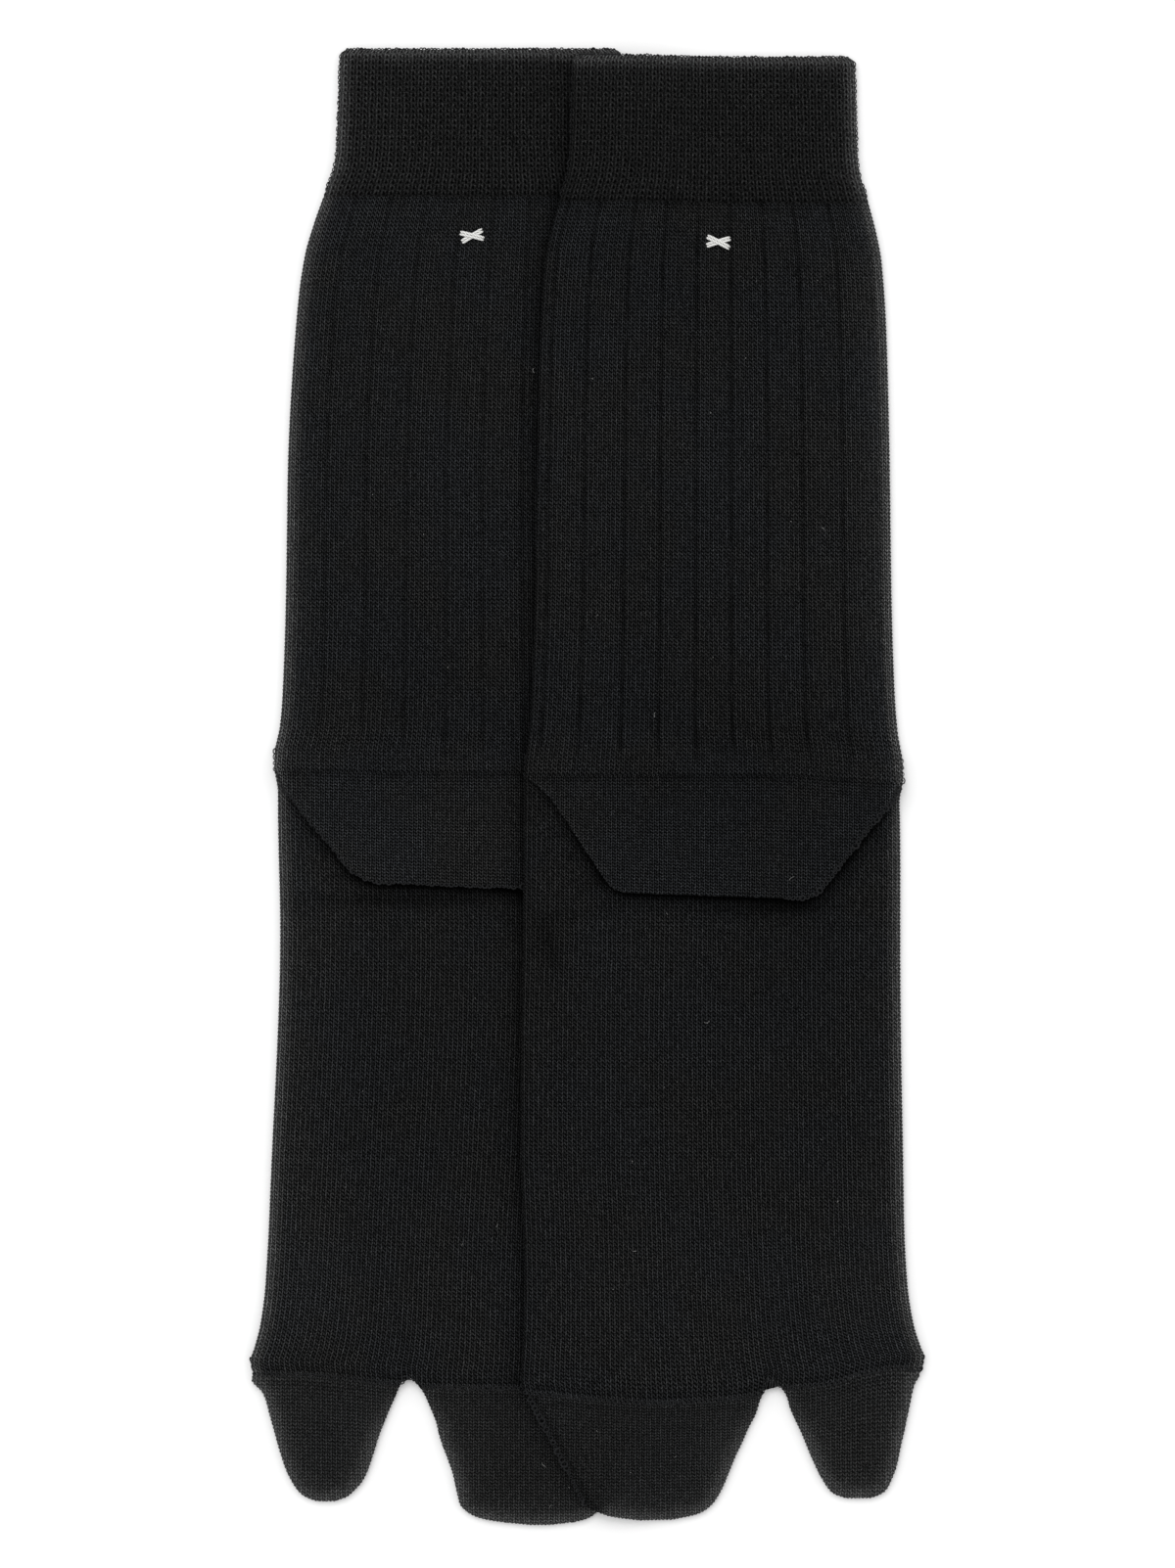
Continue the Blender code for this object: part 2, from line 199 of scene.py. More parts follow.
def notchEnds(name):
    # where the split between big toe and toes starts and ends on the toe seam
    return [rowsOf(name, zone)[0][1] for zone in ("toes", "bigToe")]


def lapHeight(x, y):
    # how high the lower sock carries the upper one
    under, step = socks["under"], lap["step"]
    onCuff = ease((y - under["cuffLine"] + step) / step)
    onFoot = ease((under["ankle"] - y) / step)
    body = flat + lap["clear"] + cloth["ribHeight"] * (1 - onFoot) + (cuffFlat - flat) * onCuff
    body = body * ease(1 - (x - sockEdge("under", 1, y) - lap["start"]) / lap["ramp"])
    heelEdge = edgesAt("under", "heel", np.minimum(y, under["ankle"]))[1]
    reach = cloth["ankleRamp"] + lap["ahead"]
    above = ease((under["ankle"] + reach - y) / (reach - 2))
    below = ease((y - under["heelFold"] + lap["start"] + lap["behind"]) / lap["behind"])
    heel = heelRise * above * below
    return body + heel * ease(1 - (x - heelEdge - lap["start"]) / lap["ramp"])


def lie(name, zone, points):
    # the toe seam and heel fold run aslant, and the upper sock laps over the lower one
    sock = socks[name]
    x, y, z = points.T
    if zone == "heel":
        down = (sock["ankle"] - y) / (sock["ankle"] - sock["heelFold"])
        y = y + sock["heelTilt"] * (x - centreAt(name, y)) * ease(down)
    fromSeam = y - sock["toeSeam"]
    reach = np.where(fromSeam > 0, bends["aboveSeam"], bends["belowSeam"])
    nearSeam = np.maximum(0.0, 1 - np.abs(fromSeam) / reach)
    aside = (x - centreAt(name, y)) * sock["outer"]
    nearAnkle = ease(1 - np.abs(y - sock["ankle"]) / bends["ankle"])
    y = y - sock["ankleDrop"] * nearAnkle * ease((aside - bends["dropStart"]) / bends["dropWidth"])
    start, end = notchEnds(name)
    across = np.clip((aside - start) / (end - start), 0.0, 1.0) ** sock["notchLean"]
    arch = np.sin(math.pi * across) * ease(1 - np.abs(fromSeam) / bends["arch"])
    wave = smoothThrough(*zip(*seamWaves[name]), aside) * bell(fromSeam, bends["wave"])
    y = (y + sock["seamRise"] * nearSeam * ease(aside / bends["aside"])
         + sock["notchArch"] * arch + wave)
    if name == "over":
        z = z + lapHeight(x, y)
    return np.stack([x, y, z], axis=1)


# Soft swells and troughs in the cloth as it lies: place, half lengths, turn in degrees, height
settling = {
    "under": ((-49, -28.2, 24, 1.9, 0, -0.44), (-72, -29.5, 6, 2.6, 24, -0.16),
              (-49, 60, 7, 34, 5, 0.22), (-24, 84, 6, 40, -4, 0.18), (-60, -66, 9, 28, 10, 0.24),
              (-34, -98, 14, 14, 0, 0.26), (-50, -124, 22, 6, -12, 0.24), (-14, 30, 7, 26, 4, 0.2),
              (-62, 112, 4, 24, -8, 0.16), (-66, -104, 5, 26, 4, 0.2),
              (-22, -60, 5, 22, -14, 0.18)),
    "over": ((-9.9, -39.4, 3.2, 7.0, 12, -0.42), (-4, -31.6, 11, 1.6, 8, -0.2),
             (46, -30.2, 17, 1.4, 1, -0.3), (64, 36, 9, 22, 8, 0.24), (-2, 78, 6, 40, 3, 0.2),
             (68, -48, 7, 24, -8, 0.26), (36, -96, 14, 26, -12, 0.24), (12, -120, 10, 12, 0, 0.2),
             (48, 92, 7, 44, 2, 0.16), (20, 60, 6, 52, -3, 0.18), (60, -130, 15, 8, 16, 0.24)),
}


def swell(rows, x, y):
    # sum of soft spots
    rise = np.zeros_like(x)
    for spotX, spotY, halfX, halfY, degrees, height in rows:
        turn = math.radians(degrees)
        alongX = (x - spotX) * math.cos(turn) + (y - spotY) * math.sin(turn)
        alongY = (y - spotY) * math.cos(turn) - (x - spotX) * math.sin(turn)
        rise += height * np.exp(-(alongX / halfX) ** 2 - (alongY / halfY) ** 2)
    return rise


# The lining's coarse grid, and how many walls it keeps in from the sides
lining = {"columns": 28, "rows": 12, "bunching": 0.8, "tubeInset": 1.3, "bagInset": 1.5,
          "bagEnd": 1.0, "rounding": 2.0}
# How closely a bag is cut up: its ring, the rows that follow it, and its lower face
bags = {"ring": 0.46, "guard": 1.2, "guardRise": 9, "middleWale": 40, "topClear": 0.3,
        "rows": (0.16, 0.55), "clear": 0.85, "backRows": (0.3, 0.9), "backGrid": 2.4,
        "backClear": 1.6, "backTop": 34, "soft": 0.9}


def heightsAt(name, zone, y):
    # middle height and half thickness of a piece at heights y
    low = np.full_like(y, heelRise if zone == "heel" else 0.0)
    high = low + flat
    if zone == "cuff":
        high = high + (cuffFlat - flat) * ease((y - socks[name]["cuffLine"]) / cloth["weltRamp"])
    elif zone == "leg":
        ankle, ramp = socks[name]["ankle"], cloth["ankleRamp"]
        high = high + heelRise * ease((ankle + ramp - y) / ramp)
    return (low + high) / 2, (high - low) / 2


def dome(distance, radius):
    # share of the half thickness reached at a distance in from the edge
    t = np.clip(distance / radius, 0.0, 1.0)
    return np.sqrt(np.clip(1 - (1 - t) ** 2, 0.0, 1.0))


def notchDistance(name, x, y):
    # distance from the root of the split between big toe and toes
    seam = socks[name]["toeSeam"]
    aside = (x - centreAt(name, np.full_like(x, seam))) * socks[name]["outer"]
    start, end = notchEnds(name)
    return np.hypot(np.maximum(0.0, np.maximum(start - aside, aside - end)), y - seam)


def zipStrip(a, alongA, b, alongB, flip):
    # triangles between two rows of points that needn't be as many
    faces, i, j = [], 0, 0
    while i < len(a) - 1 or j < len(b) - 1:
        if j == len(b) - 1 or (i < len(a) - 1 and alongA[i + 1] <= alongB[j + 1]):
            faces.append((a[i], a[i + 1], b[j]))
            i += 1
        else:
            faces.append((a[i], b[j + 1], b[j]))
            j += 1
    faces = np.array(faces, dtype=np.int64)
    return faces[:, ::-1] if flip else faces


def gridFaces(index, flip=False, turned=None):
    # two triangles a cell, cut the way the slanting strands run, but for a turned cell
    a, b = index[:-1, :-1].ravel(), index[:-1, 1:].ravel()
    c, d = index[1:, 1:].ravel(), index[1:, :-1].ravel()
    first, second = np.stack([a, d, c], 1), np.stack([a, c, b], 1)
    if turned is not None:
        first[turned] = a[turned], d[turned], b[turned]
        second[turned] = b[turned], d[turned], c[turned]
    faces = np.concatenate([first, second])
    return faces[:, ::-1] if flip else faces


def alongRow(count):
    return np.linspace(0.0, 1.0, count)


def liningGrid():
    # shares of the way across and along
    return np.meshgrid(alongRow(lining["columns"] + 1), alongRow(lining["rows"] + 1))


# The part of the bake map each kind of face gets, and how many lanes the strips share
boxes = {"face": (0.005, 0.005, 0.655, 0.995), "back": (0.665, 0.005, 0.835, 0.995),
         "lining": (0.845, 0.005, 0.965, 0.49), "liningBack": (0.845, 0.51, 0.965, 0.995),
         "strip": (0.972, 0.005, 0.995, 0.995)}
stripLanes = 6


class Shell:
    # points, faces and stitch places of one closed piece of knit, as they are added

    def __init__(self, name, zone):
        self.name, self.zone, self.count = name, zone, 0
        self.points, self.stitch, self.detail, self.faces, self.bake = [], [], [], [], []

    def add(self, x, y, z, wale, course, relief=0.0, scallop=0.0, tone=0.0):
        # gives back the numbers of the new points, laid out as x is; tone is painted light and
        # shade
        for rows, values in ((self.points, (x, y, z)), (self.stitch, (wale, course, 0.0)),
                             (self.detail, (relief, scallop, tone))):
            rows.append(np.stack([np.broadcast_to(v, x.shape).ravel() for v in values], 1))
        self.count += x.size
        return np.arange(self.count - x.size, self.count).reshape(x.shape)

    def cover(self, faces, box, *groups):
        # each group is points and where they lie in 0..1 of the box, across and along
        places = np.zeros((self.count, 2))
        for index, *where in groups:
            for axis, value in enumerate(where):
                spread = np.broadcast_to(value, index.shape).ravel()
                places[index.ravel(), axis] = np.clip(spread, 0, 1)
        x0, y0, x1, y1 = boxes[box]
        self.faces.append(faces)
        self.bake.append(places[faces.ravel()] * (x1 - x0, y1 - y0) + (x0, y0))

    def strip(self, slot, flip, a, b, alongs=None):
        # a narrow strip between two rows, with its own lane of the bake map
        alongA, alongB = alongs or (alongRow(len(a)), alongRow(len(b)))
        lane = 1 / stripLanes
        self.cover(zipStrip(a, alongA, b, alongB, flip), "strip",
                   (a, (slot + 0.1) * lane, alongA), (b, (slot + 0.9) * lane, alongB))

    def line(self, grids, gap, across, along, closed):
        # two coarse faces that share their sides, and in a bag their far end too
        x, y, middle, wale, course = grids
        own = np.s_[: -1 if closed else None, 1:-1]
        upper = self.add(x, y, middle + gap, wale, course)
        lower = upper.copy()
        lower[own] = self.add(*(g[own] for g in (x, y, middle - gap, wale, course)))
        turned = (lining["rows"] - 1) * lining["columns"] if closed else None
        self.cover(gridFaces(upper, True, turned), "lining", (upper, across, along))
        self.cover(gridFaces(lower, False, turned), "liningBack", (lower, across, along))
        return upper, lower


def domeSteps(radius, half):
    # how far in, for each length along the curved edge of the section
    angle = np.linspace(0.0, math.pi / 2, 80)
    inward = radius * (1 - np.cos(angle))
    steps = np.hypot(np.diff(inward), np.diff(half * np.sin(angle)))
    return np.concatenate([[0.0], np.cumsum(steps)]), inward


def acrossTube(left, right, share, radius, half):
    # x of a share of the way round the face, so stitches keep their width over the fold
    lengths, inward = domeSteps(radius, half)
    whole = 2 * lengths[-1] + (right - left) - 2 * radius
    near = np.minimum(share, 1 - share) * whole
    inside = np.where(near < lengths[-1], np.interp(near, lengths, inward),
                      near - lengths[-1] + radius)
    return np.where(share <= 0.5, left + inside, right - inside), inside


def ribSink(name, y, wale):
    # 1 in the middle of a sunk wale of the leg
    wales, across = knit["leg"]["wales"], socks[name]["ribsAcross"]
    counts = np.arange(0.5, across / 2 - ribs["sideClear"])
    places = np.round(wales / 2 + np.concatenate([-counts[::-1], counts]) * (wales / across))
    away = np.min(np.abs(wale[..., None] - places), axis=-1)
    return (np.clip(ribs["crown"] - away / ribs["half"], 0.0, 1.0)
            * ease((y - socks[name]["ankle"] - 1) / ribs["endRamp"]))


# Sewn and turned places that show in the upper face: which zones, the landmark they lie at and
# how far above it, their rise and half width
lines = ((("cuff", "leg"), "cuffLine", 0.0, -0.14, 1.6),        # where the cuff meets the leg
         (("cuff",), "cuffTop", 0.0, -0.5, 1.1),                # rounding at the cuff's upper turn
         (("leg", "heel"), "ankle", 0.0, -0.3, 0.8),            # first course of the heel pocket
         (seamZones, "toeSeam", -0.6, 0.4, 1.5),                # the seam stands a little proud
         (seamZones, "toeSeam", 1.6, -0.22, 0.7))
ribs = {"depth": 0.32, "half": 0.45, "crown": 1.15, "endRamp": 9, "sideClear": 0.3}


def dressing(name, zone, y, wale):
    # rises and dips of one face over its plain height
    rise = np.zeros_like(y)
    for where, mark, above, height, half in lines:
        if zone in where:
            rise += height * bell(y - socks[name][mark] - above, half)
    if zone == "leg":
        rise -= ribs["depth"] * ribSink(name, y, wale)
    return rise


def faceHeights(name, zone, x, y, inside, wale, upper):
    # z of the outer face, upper or lower
    middle, half = heightsAt(name, zone, y)
    share = dome(inside, cloth["rounding" if upper else "underRounding"])
    if zone == "foot":
        share = share * np.maximum(0.4, dome(notchDistance(name, x, y), 2.4))
    if upper:
        extra = dressing(name, zone, y, wale) + swell(settling[name], x, y)
        return middle + share * half + extra * ease(inside / 4)
    extra = -0.6 * dressing(name, zone, y, wale) * ease(inside / 4) if zone == "leg" else 0.0
    return middle - share * half + extra


# Painted light and shade in the yarn's colour: highlights at folds and rims, shade in creases
paintedTones = {
    "fold": 2.4, "foldReach": 2.25, "soft": 0.5, "softReach": 4.0, "heel": -0.06,
    "heelFold": 0.8, "toeFold": 2.1, "toeSoft": 1.0, "toeSoftReach": 5.0, "toes": 0.12,
    "rim": 2.7, "rimReach": 2.1, "rimSoft": 0.3, "rimSoftReach": 5, "lapped": -0.3,
    "lappedReach": 0.8, "pocketEdge": 0.45, "pocketReach": 0.45,
    "rib": {"under": -0.4, "over": -0.62}, "lapShade": -0.3, "lapReach": 1.3,
    "lapSoft": -0.24, "lapSoftReach": 4.6, "pocketShadeReach": 1.4, "pocketSoftReach": 3.8,
    "pocketShade": {"under": -0.66, "over": -0.54}, "pocketSoft": {"under": -0.48, "over": -0.38},
    "trough": 0.95, "rolled": -0.6, "least": -0.92, "most": 3.6,
}
# Painted shade along the seams, and a painted highlight on the toe seam's ridge: zones, landmark,
# how far above it, tone, half width, and whether the line is steady
shadeLines = ((("cuff", "leg"), "cuffLine", 0.0, -0.3, 1.5, False),
              (("leg", "heel"), "ankle", -0.4, -0.34, 0.9, False),
              (seamZones, "toeSeam", 0.2, 0.26, 0.75, True),
              (seamZones, "toeSeam", 2.0, -0.3, 0.8, False),
              (seamZones, "toeSeam", -1.6, -0.18, 0.8, False))

# Broad soft places of painted light and shade, as rows of the settling table
shading = {
    "under": ((-30, -132, 60, 32, 0, 0.16), (-72, -128, 15, 30, 0, 0.2),
              (-74, -55, 14, 60, 0, 0.24), (-40, 26, 26, 22, 0, -0.14),
              (-52, 165, 20, 26, 0, 0.14), (-46, -16, 26, 12, 0, 0.1)),
    "over": ((30, -136, 60, 34, 0, 0.15), (70, -128, 14, 30, 0, 0.16), (32, 8, 50, 22, 0, -0.2),
             (20, 45, 30, 30, 0, -0.1), (50, -32, 26, 24, 0, -0.12), (22, 125, 30, 24, 0, -0.13),
             (76, 95, 8, 52, 0, 0.28)),
}


def paintedToneAt(name, zone, x, y, inside, wale):
    # how much paler or darker the yarn of the upper face is painted, as painted light and shade
    sock = socks[name]
    laid = lie(name, zone, np.stack([x.ravel(), y.ravel(), 0 * x.ravel()], 1))
    layX, layY = laid[:, 0].reshape(x.shape), laid[:, 1].reshape(x.shape)
    free = 1.0 if name == "under" else ease((layX - sockEdge("under", 1, layY) + 1) / 4)
    tone = np.zeros_like(x)
    # painted highlights along the heel pocket's side folds and its edge, and a plain tone for the
    # heel
    if zone == "heel":
        edges = edgesAt(name, "foot", y)
        fold = bell(np.maximum(np.minimum(x - edges[0], edges[1] - x), 0.0), paintedTones["foldReach"])
        tone += paintedTones["heel"] + paintedTones["heelFold"] * free * paintedTones["fold"] * fold
        tone += paintedTones["pocketEdge"] * np.exp(-inside / paintedTones["pocketReach"]) * (1 - fold)
    else:
        toe = zone in ("bigToe", "toes")
        tone += paintedTones["toes"] * toe
        # painted shade along the upper sock's edge where it lies on the lower one
        tone += paintedTones["lapped"] * (1 - free) * np.exp(-inside / paintedTones["lappedReach"])
        notch = 0.35 + 0.65 * ease((notchDistance(name, x, y) - 2) / 15) if toe else 1.0
        fold, soft, reach = [paintedTones[key] for key in (("toeFold", "toeSoft", "toeSoftReach") if toe
                                                    else ("fold", "soft", "softReach"))]
        # painted highlights along the folds, weaker near the toe split
        tone += free * notch * fold * bell(inside, paintedTones["foldReach"])
        tone += free * (notch * soft * np.exp(-inside / reach))
    # painted highlight along the cuff's upper turn
    if zone == "cuff":
        down = sock["cuffTop"] - y
        rim = paintedTones["rim"] * bell(down, paintedTones["rimReach"])
        rim = rim + paintedTones["rimSoft"] * np.exp(-down / paintedTones["rimSoftReach"])
        tone = np.maximum(tone, rim + 0.4 * tone)
    # painted shade in the creases along the seams, and a painted highlight on the toe seam's ridge
    uneven = 0.7 + 0.3 * np.sin(x * 0.45 + 1.3) * np.sin(x * 0.17 + 0.4)
    for where, mark, above, shade, half, steady in shadeLines:
        if zone in where:
            tone += shade * (1.0 if steady else uneven) * bell(y - sock[mark] - above, half)
    # painted shade in the sunk rib wales
    if zone == "leg":
        fading = 0.72 + 0.28 * np.sin(y * 0.09 + wale * 0.21) * np.sin(y * 0.31 + wale)
        tone += paintedTones["rib"][name] * fading * ribSink(name, y, wale)
    if (name, zone) == ("over", "toes"):
        # a broken line of painted shade just inside the rolled side
        broken = 0.65 + 0.35 * np.sin(y * 2.3) * np.sin(y * 0.7 + 1.0)
        tone += paintedTones["rolled"] * broken * bell(x - edgesAt(name, zone, y)[0] - 1.7, 0.55)
    if name == "under":
        # painted shadow of the upper sock's edge on the lower sock
        away = np.maximum(0.0, sockEdge("over", 0, layY) - layX)
        lapped = ease((socks["over"]["cuffTop"] - layY) / 1.5) * (1.0 if zone != "toes" else 0.5)
        tone += paintedTones["lapShade"] * bell(away, paintedTones["lapReach"]) * lapped
        tone += paintedTones["lapSoft"] * bell(away, paintedTones["lapSoftReach"]) * lapped
    if zone == "foot":
        # painted shadow below and beside the heel pocket
        pocket = bagOutline(name, "heel", 2.0)
        pocket = lie(name, "heel", np.column_stack([pocket, np.zeros(len(pocket))]))[:, :2]
        near = layY > sock["heelFold"] - 14
        away = np.full(x.shape, 99.0)
        away[near] = distanceTo(pocket, layX[near], layY[near])
        # less painted shadow under the upper part of the flap's left slope, which lies closer
        down = ease((sock["ankle"] - layY) / (sock["ankle"] - sock["heelFold"]))
        deep = 1 - 0.75 * (1 - down) * ease((pocket[:, 0].mean() - layX) / 12)
        tone += deep * paintedTones["pocketShade"][name] * bell(away, paintedTones["pocketShadeReach"])
        tone += deep * paintedTones["pocketSoft"][name] * bell(away, paintedTones["pocketSoftReach"])
    # painted shade in the troughs of the settled cloth
    tone += paintedTones["trough"] * np.minimum(0.0, swell(settling[name], x, y))
    # broad painted light and shade
    tone += swell(shading[name], x, y)
    return np.clip(tone, paintedTones["least"], paintedTones["most"])


def buildTube(name, zone):
    # cuff, leg or foot: a flattened tube, open at both ends
    spec, shell = knit[zone], Shell(name, zone)
    top, bottom = zoneSpan(name, zone)
    wales = spec["wales"]
    halfThick = float(heightsAt(name, zone, np.array([(top + bottom) / 2]))[1][0])
    courses = round((top - bottom) / spec["course"])
    course = (top - bottom) / courses

    def solve(share, step, upper):
        y = top - step * course
        radius = cloth["rounding" if upper else "underRounding"]
        x, inside = acrossTube(*edgesAt(name, zone, y), share, radius, halfThick)
        wale = share * wales
        return x, y, faceHeights(name, zone, x, y, inside, wale, upper), wale, step, inside

    # upper face: three columns a stitch and two rows a course, two of the columns shifted
    column, row = np.arange(3 * wales + 1), np.arange(2 * courses + 1)
    share = np.broadcast_to(column / column[-1], (len(row), len(column)))
    step = np.broadcast_to((row / 2)[:, None], share.shape).copy()
    if zone != "cuff":
        step[1:-1, column % 3 != 0] += 0.25
    x, y, z, wale, step, inside = solve(share, step, True)
    relief, scallop = np.zeros_like(z), np.zeros_like(z)
    relief[1:-1, 1:-1] = 1.0
    scallop[1:-1:2, [0, -1]] = 1.0
    face = shell.add(x, y, z, wale, step, relief, scallop, paintedToneAt(name, zone, x, y, inside, wale))
    down = step / courses
    shell.cover(gridFaces(face), "face", (face, share, 1 - down))

    # lower face, coarser, between the two folds
    row = np.linspace(0, courses, max(3, round(courses * 2 / spec["backRows"]) + 1))
    share = np.broadcast_to(np.arange(1, wales) / wales, (len(row), wales - 1))
    step = np.broadcast_to(row[:, None], share.shape)
    back = shell.add(*solve(share, step, False)[:5])
    backDown = step / courses
    shell.cover(gridFaces(back, True), "back", (back, share, 1 - backDown))
    for slot, side in enumerate((0, -1)):
        shell.strip(slot, slot == 0, face[:, side], back[:, side], (down[:, 0], backDown[:, 0]))

    # lining: two coarse faces that meet just inside the folds
    wall = cloth["cuffWall" if zone == "cuff" else "wall"]
    share, row = liningGrid()
    step = row ** lining["bunching"] * courses
    y = top - step * course
    left, right = edgesAt(name, zone, y)
    inset = lining["tubeInset"] * wall
    x = left + inset + share * (right - left - 2 * inset)
    middle, half = heightsAt(name, zone, y)
    gap = np.maximum(half - wall, cloth["slack"] / 2)
    gap = gap * dome(np.minimum(share, 1 - share) * (right - left), lining["rounding"])
    upper, lower = shell.line((x, y, middle, share * wales, step), gap, share,
                              1 - step / courses, False)

    # rims
    for end, flip, slot in ((0, False, 2), (-1, True, 4)):
        below = np.concatenate([face[end, :1], back[end], face[end, -1:]])
        shell.strip(slot, flip, face[end], upper[end])
        shell.strip(slot + 1, not flip, below, lower[end])
    return shell


def bagOutline(name, zone, spacing):
    # side, tip and side of a bag, from its upper left corner to its upper right one
    top, tip = zoneSpan(name, zone)
    y = np.linspace(top, tip, 160)
    left, right = edgesAt(name, zone, y)
    tipX = np.linspace(left[-1], right[-1], 24)[1:-1]
    line = np.concatenate([np.column_stack([left, y]),
                           np.column_stack([tipX, np.full(len(tipX), tip)]),
                           np.column_stack([right, y])[::-1]])
    lengths = np.concatenate([[0], np.cumsum(np.hypot(*np.diff(line, axis=0).T))])
    count = round(lengths[-1] / spacing / 2) * 2 + 1
    at = np.linspace(0, lengths[-1], count)
    return np.column_stack([np.interp(at, lengths, line[:, 0]), np.interp(at, lengths, line[:, 1])])


def distanceTo(line, x, y):
    best = np.full(x.shape, 1e9)
    for (x0, y0), (x1, y1) in zip(line[:-1], line[1:]):
        dx, dy = x1 - x0, y1 - y0
        t = np.clip(((x - x0) * dx + (y - y0) * dy) / (dx * dx + dy * dy), 0.0, 1.0)
        best = np.minimum(best, np.hypot(x - x0 - t * dx, y - y0 - t * dy))
    return best


def bagSheet(outline, inner, topRow):
    # triangles over a bag's outline, through its inner points
    loop = np.concatenate([outline, topRow[::-1]])
    count = len(loop)
    edges = [(i, (i + 1) % count) for i in range(count)]
    flatPoints = [Vector(p) for p in np.concatenate([loop, inner])]
    found = geometry.delaunay_2d_cdt(flatPoints, edges, [], 1, 1e-6, True)
    places = np.array([tuple(p) for p in found[0]])
    source = np.array([ids[0] if ids else -1 for ids in found[3]])
    faces = np.array([tuple(f) for f in found[2]], dtype=np.int64)
    middles = places[faces].mean(axis=1)
    within = np.zeros(len(faces), dtype=bool)
    for (x0, y0), (x1, y1) in zip(loop, np.roll(loop, -1, axis=0)):
        if y0 != y1:        # each side crossed by a line to the right turns inside to outside
            crosses = (y0 > middles[:, 1]) != (y1 > middles[:, 1])
            at = x0 + (middles[:, 1] - y0) * (x1 - x0) / (y1 - y0)
            within ^= crosses & (middles[:, 0] < at)
    return places, source, faces[within]


